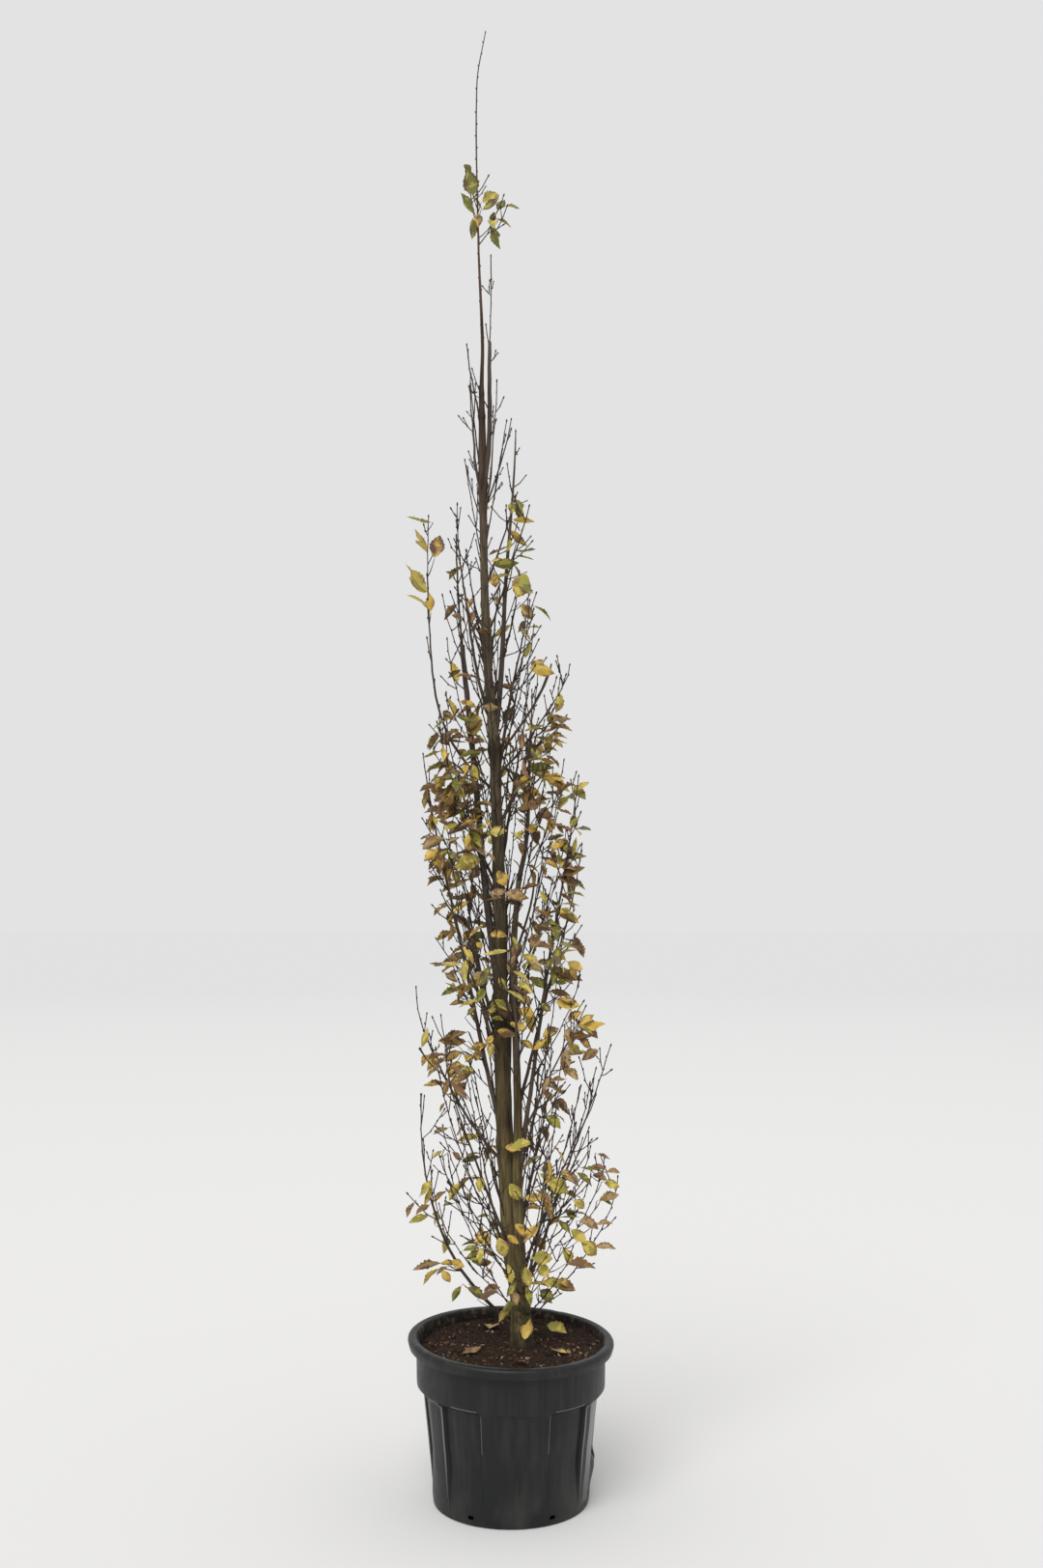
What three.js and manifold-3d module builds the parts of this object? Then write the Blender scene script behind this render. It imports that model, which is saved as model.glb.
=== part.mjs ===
/*
 * European hornbeam in a black nursery pot: a slender, upright young tree in late autumn.
 * Most of the leaves have fallen, and the rest are yellow, olive and brown.
 *
 * Millimetres, +Z up, seen from the front along +Y. The origin is the centre of the pot's flat
 * underside. Each bough ends where its mass of twigs and leaves begins, and the mass grows on
 * along the same line. Pieces that touch stand a small gap apart.
 */
import * as THREE from 'three';
import { mergeVertices } from 'three/addons/utils/BufferGeometryUtils.js';
import Module from 'manifold-3d';

const wasm = await Module();
wasm.setup();

const GAP = 0.3;

// Pot: a 65 litre container with a rolled rim, a deep collar and sunken panels in its wall. Its
// rim has sagged a little to the right and to the front, and its wall has buckled at the right
const POT_HEIGHT = 419;
const POT_BASE_RADIUS = 204;
const RIM_RADIUS = 272;
const COLLAR_RADIUS = 248;
const COLLAR_FOOT = 300;
const WALL_TOP = 284;
const WALL_TOP_RADIUS = 234;
const BEAD_HEIGHT = 28;
const BEAD = [[5, 0], [0, 8], [1, 20], [8, BEAD_HEIGHT]];
const RIM_LIP = 4;
const POT_WALL = 5;
const POT_FLOOR = 6;
const BASE_BEVEL = 7;
const POT_SIDES = 36;
const RIM_TILT = { side: 0.028, front: 0.033 };
const PANEL_DEPTH = 12;
const PANEL_FOOT = 22;
const PANEL_RISE = 110;
const PANELS = [[-94, -63], [-49, -19], [26, 57], [72, 97], [127, 157], [-171, -141]];
const BUCKLE = { around: 90, height: 98, size: 14, wide: 13, below: 45, above: 22, rows: [50, 98, 132] };
const SLOTS = 6;
const SLOT_SIZE = [16, 8, 10];
const SLOT_HEIGHT = 21;
const FIRST_SLOT = -29;

// Soil: filled to a little below the rim, rough, and level where the trunk stands. It keeps a
// little further from the pot's wall where the panels come in
const SOIL_TOP = 396;
const SOIL_ROUGHNESS = 5;
const SOIL_WAVES = { x: 0.05, shift: 1, y: 0.043 };
const SOIL_RINGS = [165, 75];
const SOIL_FOOT_EASE = 18;
const SOIL_PANEL_EASE = 4;
const TRUNK_FOOT_CLEARING = 60;

// Trunk: height, sideways place and radius, from its foot on the soil to the leader's tip
const TRUNK = [
  [396, 30, 27], [520, 24, 25.5], [650, 0, 22.5], [900, -14, 22], [1200, -26, 20],
  [1600, -33, 15.5], [2000, -47, 14], [2250, -67, 11.3], [2600, -77, 10.4], [2720, -79, 11.6],
  [2860, -81, 9.4], [3000, -82, 5.6], [3100, -80, 4.7], [3400, -92, 2.8], [3850, -97, 1.7],
  [4005, -73, 1.2],
];
const ROOT_FLARE = 6;
const ROOT_FLARE_HEIGHT = 28;
const KNOTS = [[905, 2], [1255, 2.5], [1650, 2], [1975, 4.5], [2105, 3], [2300, 2]];
const KNOT_LENGTH = 22;
const TRUNK_SIDES = 8;
const TRUNK_STEPS = 32;

// Second stem: height, sideways place, depth and radius, pressed against the trunk's front
const SECOND_STEM = [
  [500, 32, -8, 14], [560, 31, -16, 15], [650, 23, -23, 15], [800, 17, -27, 14],
  [1000, 18, -28, 11], [1200, 13, -28, 9.5], [1450, 8, -24, 8.5], [1620, 20, -24, 6.5],
];
const SECOND_SIDES = 6;
const SECOND_STEPS = 10;

// Boughs and masses. foot is the height where a limb leaves its host, tip is where it ends and
// girth is its radius at the foot. bow is how early it spreads, bare the share that is a plain
// bough, twigs and leaves what its mass carries, reach its longest twig, and leafy the heights
// between which its leaves hang. A limb that was cut back has its own taper, and what grew on from
// the stub has the share regrown of its girth.
const LIMBS = [
  { name: 'low_left', foot: 428, tip: [-243, 55, 1040], girth: 4.6, bow: 2, bare: 0.28,
    twigs: 7, leaves: 22, reach: 170, leafy: [480, 830] },
  { name: 'low_right', host: 'second', foot: 522, tip: [265, -25, 1180], girth: 4.6, bow: 0, bare: 0.22,
    twigs: 8, leaves: 22, reach: 190, leafy: [570, 880] },
  { name: 'low_front', host: 'second', foot: 545, tip: [118, -175, 1050], girth: 4, bow: 0.5, bare: 0.25,
    twigs: 5, leaves: 12, reach: 160, leafy: [560, 1000] },
  { name: 'low_left_front', foot: 640, tip: [-170, -140, 1200], girth: 4, bow: 0.4, bare: 0.3,
    twigs: 5, leaves: 10, reach: 150, leafy: [680, 1200] },
  { name: 'low_left_back', foot: 510, tip: [-125, 190, 1100], girth: 3.6, bow: 0.4, bare: 0,
    twigs: 5, leaves: 11, reach: 150, leafy: [560, 1000] },
  { name: 'low_right_back', foot: 600, tip: [110, 200, 1180], girth: 4, bow: 0.5, bare: 0.3,
    twigs: 5, leaves: 11, reach: 160, leafy: [600, 1100] },
  { name: 'low_right_side', host: 'second', foot: 590, tip: [215, 115, 1060], girth: 3.6, bow: 0.2, bare: 0,
    twigs: 4, leaves: 8, reach: 130, leafy: [640, 900] },
  { name: 'left_long', foot: 860, tip: [-258, 40, 1330], girth: 4, bow: 0.7, bare: 0.3,
    twigs: 5, leaves: 16, reach: 150, leafy: [1060, 1240] },
  { name: 'left_main', foot: 910, tip: [-238, -15, 1960], girth: 6.2, bow: 0.1, bare: 0.3,
    twigs: 9, leaves: 34, reach: 170, leafy: [1290, 2000] },
  { name: 'right_main', host: 'second', foot: 850, tip: [182, -20, 1900], girth: 6.2, bow: 0, bare: 0.3,
    twigs: 9, leaves: 32, reach: 160, leafy: [1300, 1900] },
  { name: 'right_cluster', host: 'second', foot: 930, tip: [195, -110, 1290], girth: 3.6, bow: 0, bare: 0,
    twigs: 5, leaves: 19, reach: 120, leafy: [1080, 1340] },
  { name: 'right_back', host: 'second', foot: 1010, tip: [195, 105, 1720], girth: 4.6, bow: 0.1, bare: 0.3,
    twigs: 6, leaves: 15, reach: 150, leafy: [1200, 1740] },
  { name: 'front_mid', host: 'second', foot: 1090, tip: [0, -210, 1560], girth: 4.6, bow: 0.3, bare: 0.3,
    twigs: 5, leaves: 13, reach: 150, leafy: [1180, 1600] },
  { name: 'back_mid', foot: 980, tip: [-20, 220, 1600], girth: 5, bow: 0.3, bare: 0.3,
    twigs: 7, leaves: 15, reach: 160, leafy: [1150, 1650] },
  { name: 'left_front_mid', foot: 1120, tip: [-160, -155, 1620], girth: 4, bow: 0.3, bare: 0.3,
    twigs: 5, leaves: 11, reach: 140, leafy: [1250, 1650] },
  { name: 'left_back_mid', foot: 1180, tip: [-160, 160, 1760], girth: 4.4, bow: 0.3, bare: 0.3,
    twigs: 5, leaves: 12, reach: 150, leafy: [1300, 1800] },
  { name: 'left_upright', foot: 1290, tip: [-152, 25, 2570], girth: 10, bow: 0.35, bare: 0.76,
    taper: 0.45, regrown: 0.4, twigs: 4, leaves: 3, reach: 130, leafy: [2080, 2500] },
  { name: 'right_upright', host: 'second', foot: 1619, tip: [56, -52, 2130], girth: 6.5, bow: 1.5, bare: 0,
    twigs: 6, leaves: 9, reach: 130, leafy: [1650, 2100] },
  { name: 'back_upright', foot: 1600, tip: [45, 130, 2230], girth: 4.6, bow: 0.3, bare: 0.3,
    twigs: 5, leaves: 11, reach: 140, leafy: [1750, 2200] },
  { name: 'left_cluster', foot: 1560, tip: [-190, -105, 2080], girth: 4, bow: 0.5, bare: 0.3,
    twigs: 6, leaves: 20, reach: 130, leafy: [1730, 2080] },
  { name: 'left_cluster_back', foot: 1600, tip: [-180, 100, 2060], girth: 4, bow: 0.5, bare: 0.3,
    twigs: 5, leaves: 14, reach: 130, leafy: [1720, 2060] },
  { name: 'right_upper', foot: 1900, tip: [158, -40, 2200], girth: 3.4, bow: 0.4, bare: 0,
    twigs: 5, leaves: 10, reach: 130, leafy: [1960, 2150] },
  { name: 'right_upper_back', foot: 1760, tip: [135, 80, 2180], girth: 3.6, bow: 0.3, bare: 0,
    twigs: 4, leaves: 9, reach: 130, leafy: [1850, 2110] },
  { name: 'far_left_shoot', foot: 1860, tip: [-228, 10, 2620], girth: 3.6, bow: 4, bare: 0, stray: true,
    twigs: 2, leaves: 8, reach: 70, leafy: [2340, 2640] },
  { name: 'upper_right_thin', foot: 1870, tip: [48, 65, 2420], girth: 5, bow: 0, bare: 0.4,
    twigs: 5, leaves: 4, reach: 120, leafy: [2000, 2400] },
  { name: 'upper_right_main', foot: 1990, tip: [12, -20, 2850], girth: 8, bow: 0.2, bare: 0.35,
    twigs: 7, leaves: 13, reach: 150, leafy: [2270, 2680] },
  { name: 'upper_left', foot: 2030, tip: [-150, 35, 2660], girth: 4.6, bow: 0.8, bare: 0.35,
    twigs: 5, leaves: 3, reach: 120, leafy: [2200, 2500] },
  { name: 'upper_back', foot: 2080, tip: [-85, 130, 2620], girth: 4.4, bow: 0.4, bare: 0,
    twigs: 5, leaves: 4, reach: 120, leafy: [2200, 2500] },
  { name: 'upper_front', foot: 2120, tip: [-62, -125, 2560], girth: 4, bow: 0.4, bare: 0,
    twigs: 4, leaves: 4, reach: 120, leafy: [2200, 2500] },
  { name: 'top_right', foot: 2690, tip: [-57, -8, 3350], girth: 7.5, bow: 3, bare: 0.485,
    taper: 0.6, regrown: 0.35, twigs: 2, leaves: 0, reach: 60, leafy: [0, 0] },
  { name: 'top_right_low', foot: 2630, tip: [-40, -22, 2990], girth: 3, bow: 1, bare: 0,
    twigs: 2, leaves: 0, reach: 90, leafy: [0, 0] },
  { name: 'top_left', foot: 2680, tip: [-113, 8, 3020], girth: 4, bow: 1.5, bare: 0,
    twigs: 3, leaves: 0, reach: 110, leafy: [0, 0] },
  { name: 'leaf_tuft_right', foot: 3385, tip: [-22, -15, 3520], girth: 1.7, bow: 0.3, bare: 0,
    twigs: 1, leaves: 5, reach: 60, leafy: [3400, 3640] },
  { name: 'leaf_tuft_left', foot: 3440, tip: [-128, 10, 3600], girth: 1.6, bow: 0.3, bare: 0,
    twigs: 1, leaves: 4, reach: 50, leafy: [3440, 3660] },
  { name: 'foot_shoot', host: 'second', foot: 515, tip: [25, -105, 620], girth: 2, bow: 0.2, bare: 0,
    twigs: 2, leaves: 7, reach: 70, leafy: [450, 650] },
];
// The crown's outline: height, sideways middle and reach from there, on all sides
const CROWN = [
  [450, 0, 230], [750, 15, 300], [950, 12, 262], [1150, 8, 258], [1400, -15, 212], [1650, -18, 225],
  [1850, -22, 235], [2000, -40, 215], [2200, -35, 180], [2500, -55, 140], [2800, -60, 95],
  [3000, -85, 75], [3300, -80, 50], [3500, -65, 85], [3700, -90, 60], [4005, -73, 30],
];

// Limbs: a taper, a slight wave along their length, and straight runs between a few joints
const TIP_RADIUS = 1;
const LIMB_TAPER = 0.8;
const WAVE = 5;
const BOUGH_JOINTS = 3;
const MASS_JOINTS = 5;
const BOUGH_SIDES = 5;
const THICK_LIMB = 4;
const THICK_SIDES = 4;
const THIN_SIDES = 3;
const PLAIN_FOOT = 0.12;

// Twigs: spaced along their stem by shares of its length, turned by the golden angle, leaning
// away from it and lifted beyond their knee. A pair of numbers is the least and what chance adds
const TWIG_RADIUS = 1.9;
const TWIG_SHARE = 0.7;
const TWIG_TAPER = 0.5;
const TWIG_SPACING = { first: 0.05, spread: 0.9, chance: 0.6 };
const TWIG_TURN = { each: 137.5, chance: 60 };
const TWIG_LEAN = [34, 22];
const TWIG_LENGTH = [0.6, 0.4];
const TWIG_SHORTENING = 0.45;
const TWIG_KNEE = 0.45;
const TWIG_LIFT = 0.4;
const TWIG_TRIES = 5;
const TRY_SHORTENING = 0.12;
const TWIG_CHECKS = [0.2, 0.35, 0.5, 0.65, 0.8, 0.9, 1];
const TWIG_SEED = { foot: 97, tip: 13, each: 1009 };

// Leaves: pointed ovals on a short stalk, spread to both sides of the way outward. The first of a
// twig sits at LEAF_START of its length, and the stem counts as STEM_WEIGHT twigs. Checks are made
// along a leaf's length and at shares of its half width
const LEAF_LENGTH = [50, 24];
const LEAF_WIDTH_SHARE = 0.5;
const LEAF_THICKNESS = 1.6;
const LEAF_THICKEST = 0.25;
const STALK = 8;
const LEAF_START = 0.25;
const LEAF_END = 0.93;
const STEM_LEAF_START = 0.05;
const STEM_WEIGHT = 1.5;
const LEAF_SPIN = 210;
const LEAF_DROOP = [20, -60];
const LEAF_ROLL = 110;
const LEAF_TRIES = 18;
const LEAF_SPACING = 9;
const LEAF_CHECKS = [[0.1, 0], [0.3, 0], [0.5, 0], [0.75, 0], [1, 0], [0.3, 0.7], [0.3, -0.7],
  [0.5, 1], [0.5, -1], [0.75, 0.6], [0.75, -0.6]];
const LEAF_SEED = { foot: 61, tip: 29, each: 2003 };

// Clearances: between the spaces of two masses, to any limb, and over the soil and the rim
const SPACE_MARGIN = 4;
const LIMB_MARGIN = 3;
const TWIG_MARGIN = 2;
const SOIL_MARGIN = 12;
const RIM_MARGIN = 25;

// Straight pieces into which each line is parted to measure distances
const SAMPLES = { trunk: 60, second: 20, bough: 8, mass: 12, twig: 4 };

const DEGREE = Math.PI / 180;
const STEP = 0.004;
const UP = new THREE.Vector3(0, 0, 1);

const POT_PLASTIC = { color: 0x303131, roughness: 0.5, metalness: 0 };
const SOIL_MIX = { color: 0x31261d, roughness: 1, metalness: 0 };
const BARK = { color: 0x544b40, roughness: 0.9, metalness: 0 };
const AUTUMN_LEAF = { color: 0x8a7436, roughness: 0.75, metalness: 0 };

// Seeded numbers between 0 and 1
function seeded(seed) {
  let state = seed % 4294967296;
  return () => {
    state = (1664525 * state + 1013904223) % 4294967296;
    return state / 4294967296;
  };
}

// A value that runs smoothly between stations, whose first entry is their height
function through(stations, height, column) {
  const last = stations.length - 1;
  let i = 0;
  while (i < last - 1 && height > stations[i + 1][0]) i += 1;
  const slope = (k) => {
    const before = stations[Math.max(k - 1, 0)];
    const after = stations[Math.min(k + 1, last)];
    return (after[column] - before[column]) / (after[0] - before[0]);
  };
  const from = stations[i];
  const to = stations[i + 1];
  const span = to[0] - from[0];
  const u = (height - from[0]) / span;
  return (2 * u ** 3 - 3 * u ** 2 + 1) * from[column] + (u ** 3 - 2 * u ** 2 + u) * span * slope(i)
    + (3 * u ** 2 - 2 * u ** 3) * to[column] + (u ** 3 - u ** 2) * span * slope(i + 1);
}

// Solids from closed meshes, and back
function solidOf(geometry) {
  geometry.deleteAttribute('normal');
  geometry.deleteAttribute('uv');
  const merged = mergeVertices(geometry, 1e-4);
  return new wasm.Manifold(new wasm.Mesh({
    numProp: 3,
    vertProperties: new Float32Array(merged.attributes.position.array),
    triVerts: new Uint32Array(merged.index.array),
  }));
}

function geometryOf(solid) {
  const mesh = solid.getMesh();
  const geometry = new THREE.BufferGeometry();
  geometry.setAttribute('position', new THREE.BufferAttribute(new Float32Array(mesh.vertProperties), 3));
  geometry.setIndex(new THREE.BufferAttribute(new Uint32Array(mesh.triVerts), 1));
  geometry.computeVertexNormals();
  return geometry;
}

// The main piece of a fused solid: scraps are dropped, and a sealed hollow is filled
function mainPiece(solid) {
  return solid.decompose().reduce((best, piece) => (piece.volume() > best.volume() ? piece : best));
}

const fuse = (solids) => mainPiece(wasm.Manifold.union(solids));

// A closed tube along a path, with a ring at each share of its length in rings. It may end in a
// point, and its foot may be a level cut
function tube({ at, radius, rings, sides, pointed = false, levelFoot = false }) {
  const steps = rings.length - 1;
  const geometry = pointed
    ? new THREE.ConeGeometry(1, 1, sides, steps)
    : new THREE.CylinderGeometry(1, 1, 1, sides, steps);
  const whole = at(rings[steps]).sub(at(rings[0])).normalize();
  const side = Math.abs(whole.x) < 0.7 ? new THREE.Vector3(1, 0, 0) : new THREE.Vector3(0, 1, 0);
  const position = geometry.attributes.position;
  for (let i = 0; i < position.count; i += 1) {
    const ring = Math.round((position.getY(i) + 0.5) * steps);
    const t = rings[ring];
    const along = levelFoot && ring === 0
      ? UP
      : at(Math.min(t + STEP, 1)).sub(at(Math.max(t - STEP, 0))).normalize();
    const across = side.clone().addScaledVector(along, -side.dot(along)).normalize();
    const beside = across.clone().cross(along);
    const drawn = pointed ? 1 - ring / steps : 1;
    const size = drawn > 0 ? radius(t) / drawn : 0;
    const point = at(t)
      .addScaledVector(across, position.getX(i) * size)
      .addScaledVector(beside, position.getZ(i) * size);
    position.setXYZ(i, point.x, point.y, point.z);
  }
  return solidOf(geometry);
}

const evenly = (from, to, steps) => Array.from(
  { length: steps + 1 },
  (_, i) => from + ((to - from) * i) / steps,
);

// The trunk and the second stem, as paths by height
function stem(stations, swell) {
  const foot = stations[0][0];
  const tip = stations[stations.length - 1][0];
  const width = stations[0].length - 1;
  const height = (t) => foot + (tip - foot) * t;
  const depth = (z) => (width === 3 ? through(stations, z, 2) : 0);
  return {
    foot,
    tip,
    at: (t) => new THREE.Vector3(through(stations, height(t), 1), depth(height(t)), height(t)),
    radius: (t) => through(stations, height(t), width) + swell(height(t)),
  };
}

const trunkSwell = (z) => KNOTS.reduce(
  (sum, [height, size]) => sum + size * Math.exp(-(((z - height) / KNOT_LENGTH) ** 2)),
  ROOT_FLARE * Math.exp(-(z - TRUNK[0][0]) / ROOT_FLARE_HEIGHT),
);
const trunk = stem(TRUNK, trunkSwell);
const secondStem = stem(SECOND_STEM, () => 0);
const hosts = { trunk, second: secondStem };
const trunkPlace = (z) => through(TRUNK, Math.min(z, trunk.tip), 1);

// A limb's line: it leaves its host, bows up to its tip with a slight wave, and runs straight
// between its joints
function limbOf(row) {
  const { bare, girth, taper = LIMB_TAPER, regrown = 1 } = row;
  const host = hosts[row.host ?? 'trunk'];
  const foot = host.at((row.foot - host.foot) / (host.tip - host.foot));
  const reach = new THREE.Vector3(...row.tip).sub(foot);
  const flat = Math.hypot(reach.x, reach.y);
  const bend = (t) => {
    const away = 1 - (1 - t) ** (1 + row.bow) + (WAVE * Math.sin(3 * Math.PI * t)) / flat / 2;
    const aside = (WAVE * Math.sin(2 * Math.PI * t)) / flat;
    return new THREE.Vector3(
      foot.x + reach.x * away - reach.y * aside,
      foot.y + reach.y * away + reach.x * aside,
      foot.z + reach.z * t,
    );
  };
  const boughRings = bare > 0 ? evenly(0, bare, BOUGH_JOINTS) : [];
  const massRings = evenly(bare, 1, bare > 0 ? MASS_JOINTS : MASS_JOINTS + 1);
  const joints = [...boughRings, ...massRings.slice(bare > 0 ? 1 : 0)];
  const at = (t) => {
    const next = Math.max(1, joints.findIndex((joint) => joint >= t));
    const [from, to] = [joints[next - 1], joints[next]];
    return bend(from).lerp(bend(to), (t - from) / (to - from));
  };
  const radius = (t) => Math.max(TIP_RADIUS, girth * (1 - taper * t) * (t > bare ? regrown : 1));
  return { ...row, at, radius, boughRings, massRings, length: reach.length() };
}

const limbs = LIMBS.map(limbOf);

// Samples of a line, to measure distances to it
function samples({ at, radius }, from, to, count) {
  const points = [];
  for (let i = 0; i <= count; i += 1) {
    const t = from + ((to - from) * i) / count;
    points.push({ place: at(t), radius: radius(t) });
  }
  return points;
}

function distanceTo(line, point) {
  let nearest = Infinity;
  for (let i = 0; i < line.length - 1; i += 1) {
    const a = line[i].place;
    const b = line[i + 1].place;
    const [dx, dy, dz] = [b.x - a.x, b.y - a.y, b.z - a.z];
    const [px, py, pz] = [point.x - a.x, point.y - a.y, point.z - a.z];
    const share = Math.min(1, Math.max(0, (px * dx + py * dy + pz * dz) / (dx * dx + dy * dy + dz * dz)));
    const away = Math.hypot(px - share * dx, py - share * dy, pz - share * dz);
    nearest = Math.min(nearest, away - line[i].radius);
  }
  return nearest;
}

const stemLines = limbs.map((limb) => samples(limb, limb.bare, 1, SAMPLES.mass));
const limbLines = [
  samples(trunk, 0, 1, SAMPLES.trunk),
  samples(secondStem, 0, 1, SAMPLES.second),
  ...limbs.filter(({ bare }) => bare > 0).map((limb) => samples(limb, 0, limb.bare, SAMPLES.bough)),
];

// A point belongs to a mass where that mass's stem is the nearest, clear of limbs, soil and pot
function belongs(index, point) {
  const overPot = Math.hypot(point.x, point.y) > COLLAR_RADIUS - RIM_MARGIN;
  if (point.z < (overPot ? POT_HEIGHT + RIM_MARGIN : SOIL_TOP + SOIL_MARGIN)) return false;
  const fromAxis = Math.hypot(point.x - through(CROWN, point.z, 1), point.y);
  if (!limbs[index].stray && fromAxis > through(CROWN, point.z, 2)) return false;
  if (limbLines.some((line) => distanceTo(line, point) < LIMB_MARGIN)) return false;
  const own = distanceTo(stemLines[index], point);
  return stemLines.every((line, other) => other === index
    || distanceTo(line, point) > Math.max(own, 0) + SPACE_MARGIN);
}

const seedOf = (limb, { foot, tip, each }, k) => (
  limb.foot * foot + Math.round(limb.tip[2]) * tip + k * each
);
const chance = (random, [least, more]) => least + more * random();

// A twig: straight to its knee, then lifted. It tries other sides until it keeps to its space
function growTwig(limb, index, k) {
  const random = seeded(seedOf(limb, TWIG_SEED, k));
  const start = Math.max(limb.bare, PLAIN_FOOT);
  const { first: firstShare, spread, chance: jitter } = TWIG_SPACING;
  const share = firstShare + (spread * (k + jitter * random())) / limb.twigs;
  const t = start + (1 - start) * share;
  const root = limb.at(t);
  const along = limb.at(Math.min(t + STEP, 1)).sub(limb.at(t - STEP)).normalize();
  const turn = (TWIG_TURN.each * k + TWIG_TURN.chance * random()) * DEGREE;
  const lean = chance(random, TWIG_LEAN) * DEGREE;
  const full = limb.reach * chance(random, TWIG_LENGTH) * (1 - TWIG_SHORTENING * share);
  const thick = Math.min(TWIG_RADIUS, TWIG_SHARE * limb.radius(t));
  const radius = (u) => thick * (1 - TWIG_TAPER * u);
  for (let go = 0; go < TWIG_TRIES; go += 1) {
    const heading = turn + (go * 2 * Math.PI) / TWIG_TRIES;
    const length = full * (1 - TRY_SHORTENING * go);
    const out = new THREE.Vector3(Math.cos(heading), Math.sin(heading), 0);
    out.addScaledVector(along, -out.dot(along)).normalize();
    const first = along.clone().multiplyScalar(Math.cos(lean)).addScaledVector(out, Math.sin(lean));
    const second = first.clone().addScaledVector(UP, TWIG_LIFT).normalize();
    const knee = root.clone().addScaledVector(first, length * TWIG_KNEE);
    const tip = knee.clone().addScaledVector(second, length * (1 - TWIG_KNEE));
    const at = (u) => (u < TWIG_KNEE
      ? root.clone().lerp(knee, u / TWIG_KNEE)
      : knee.clone().lerp(tip, (u - TWIG_KNEE) / (1 - TWIG_KNEE)));
    if (TWIG_CHECKS.every((u) => belongs(index, at(u)))) {
      return { at, radius, line: samples({ at, radius }, 0, 1, SAMPLES.twig) };
    }
  }
  return null;
}

// A leaf: it hangs outward from a twig or from the stem, its blade rolled a little. It keeps clear
// of the other leaves and twigs of its mass
function growLeaf(limb, index, twigs, placed, k) {
  const random = seeded(seedOf(limb, LEAF_SEED, k));
  const twigLines = [stemLines[index], ...twigs.map((twig) => twig.line)];
  const others = placed.flatMap((leaf) => leaf.spots);
  for (let go = 0; go < LEAF_TRIES; go += 1) {
    const pick = Math.floor(random() * (twigs.length + STEM_WEIGHT));
    const onTwig = pick < twigs.length;
    const start = onTwig ? LEAF_START : Math.max(limb.bare, PLAIN_FOOT) + STEM_LEAF_START;
    const root = (onTwig ? twigs[pick] : limb).at(start + (LEAF_END - start) * random());
    const spin = (random() - 0.5) * LEAF_SPIN * DEGREE;
    const droop = chance(random, LEAF_DROOP) * DEGREE;
    const length = chance(random, LEAF_LENGTH);
    const roll = (random() - 0.5) * LEAF_ROLL * DEGREE;
    const heading = Math.atan2(root.y, root.x - trunkPlace(root.z)) + spin;
    const along = new THREE.Vector3(
      Math.cos(heading) * Math.cos(droop),
      Math.sin(heading) * Math.cos(droop),
      Math.sin(droop),
    );
    const level = UP.clone().cross(along).normalize();
    const face = along.clone().cross(level);
    const across = level.clone().multiplyScalar(Math.cos(roll)).addScaledVector(face, Math.sin(roll));
    const spots = LEAF_CHECKS.map(([u, side]) => root.clone()
      .addScaledVector(along, STALK + length * u)
      .addScaledVector(across, (side * length * LEAF_WIDTH_SHARE) / 2));
    const inLeafyPart = root.z > limb.leafy[0] && root.z < limb.leafy[1]
      && limbLines.every((line) => distanceTo(line, root) > LIMB_MARGIN);
    if (inLeafyPart
      && spots.every((place) => others.every((other) => other.distanceTo(place) > LEAF_SPACING))
      && spots.every((place) => twigLines.every((line) => distanceTo(line, place) > TWIG_MARGIN))
      && spots.every((place) => belongs(index, place))) {
      return { root, along, across, length, spots };
    }
  }
  return null;
}

// The solid of a leaf: a flat octahedron whose root reaches into its twig, thickest near the stalk
function leafSolid({ root, along, across, length }) {
  const geometry = new THREE.OctahedronGeometry(1);
  const position = geometry.attributes.position;
  for (let i = 0; i < position.count; i += 1) {
    if (Math.abs(position.getZ(i)) > 0.5) position.setY(i, 2 * LEAF_THICKEST - 1);
  }
  const whole = STALK + length;
  const face = across.clone().cross(along);
  const middle = root.clone().addScaledVector(along, whole / 2);
  geometry.applyMatrix4(new THREE.Matrix4()
    .makeBasis(
      across.clone().multiplyScalar((length * LEAF_WIDTH_SHARE) / 2),
      along.clone().multiplyScalar(whole / 2),
      face.clone().multiplyScalar(LEAF_THICKNESS / 2),
    )
    .setPosition(middle));
  return solidOf(geometry);
}

// Pot: a turned profile whose points are then moved by the panels, the buckle and the tilt
function sunken(around) {
  return PANELS.some(([from, to]) => around > from && around < to) ? 1 : 0;
}

const wallRadius = (z) => POT_BASE_RADIUS
  + ((WALL_TOP_RADIUS - POT_BASE_RADIUS) * (z - BASE_BEVEL)) / (WALL_TOP - BASE_BEVEL);
const panelShare = (z) => Math.min(1, Math.max(0, (z - PANEL_FOOT) / PANEL_RISE));

function buckled(around, z) {
  const tall = z > BUCKLE.height ? BUCKLE.above : BUCKLE.below;
  const off = ((around - BUCKLE.around) / BUCKLE.wide) ** 2 + ((z - BUCKLE.height) / tall) ** 2;
  return BUCKLE.size * Math.exp(-off);
}

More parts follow.
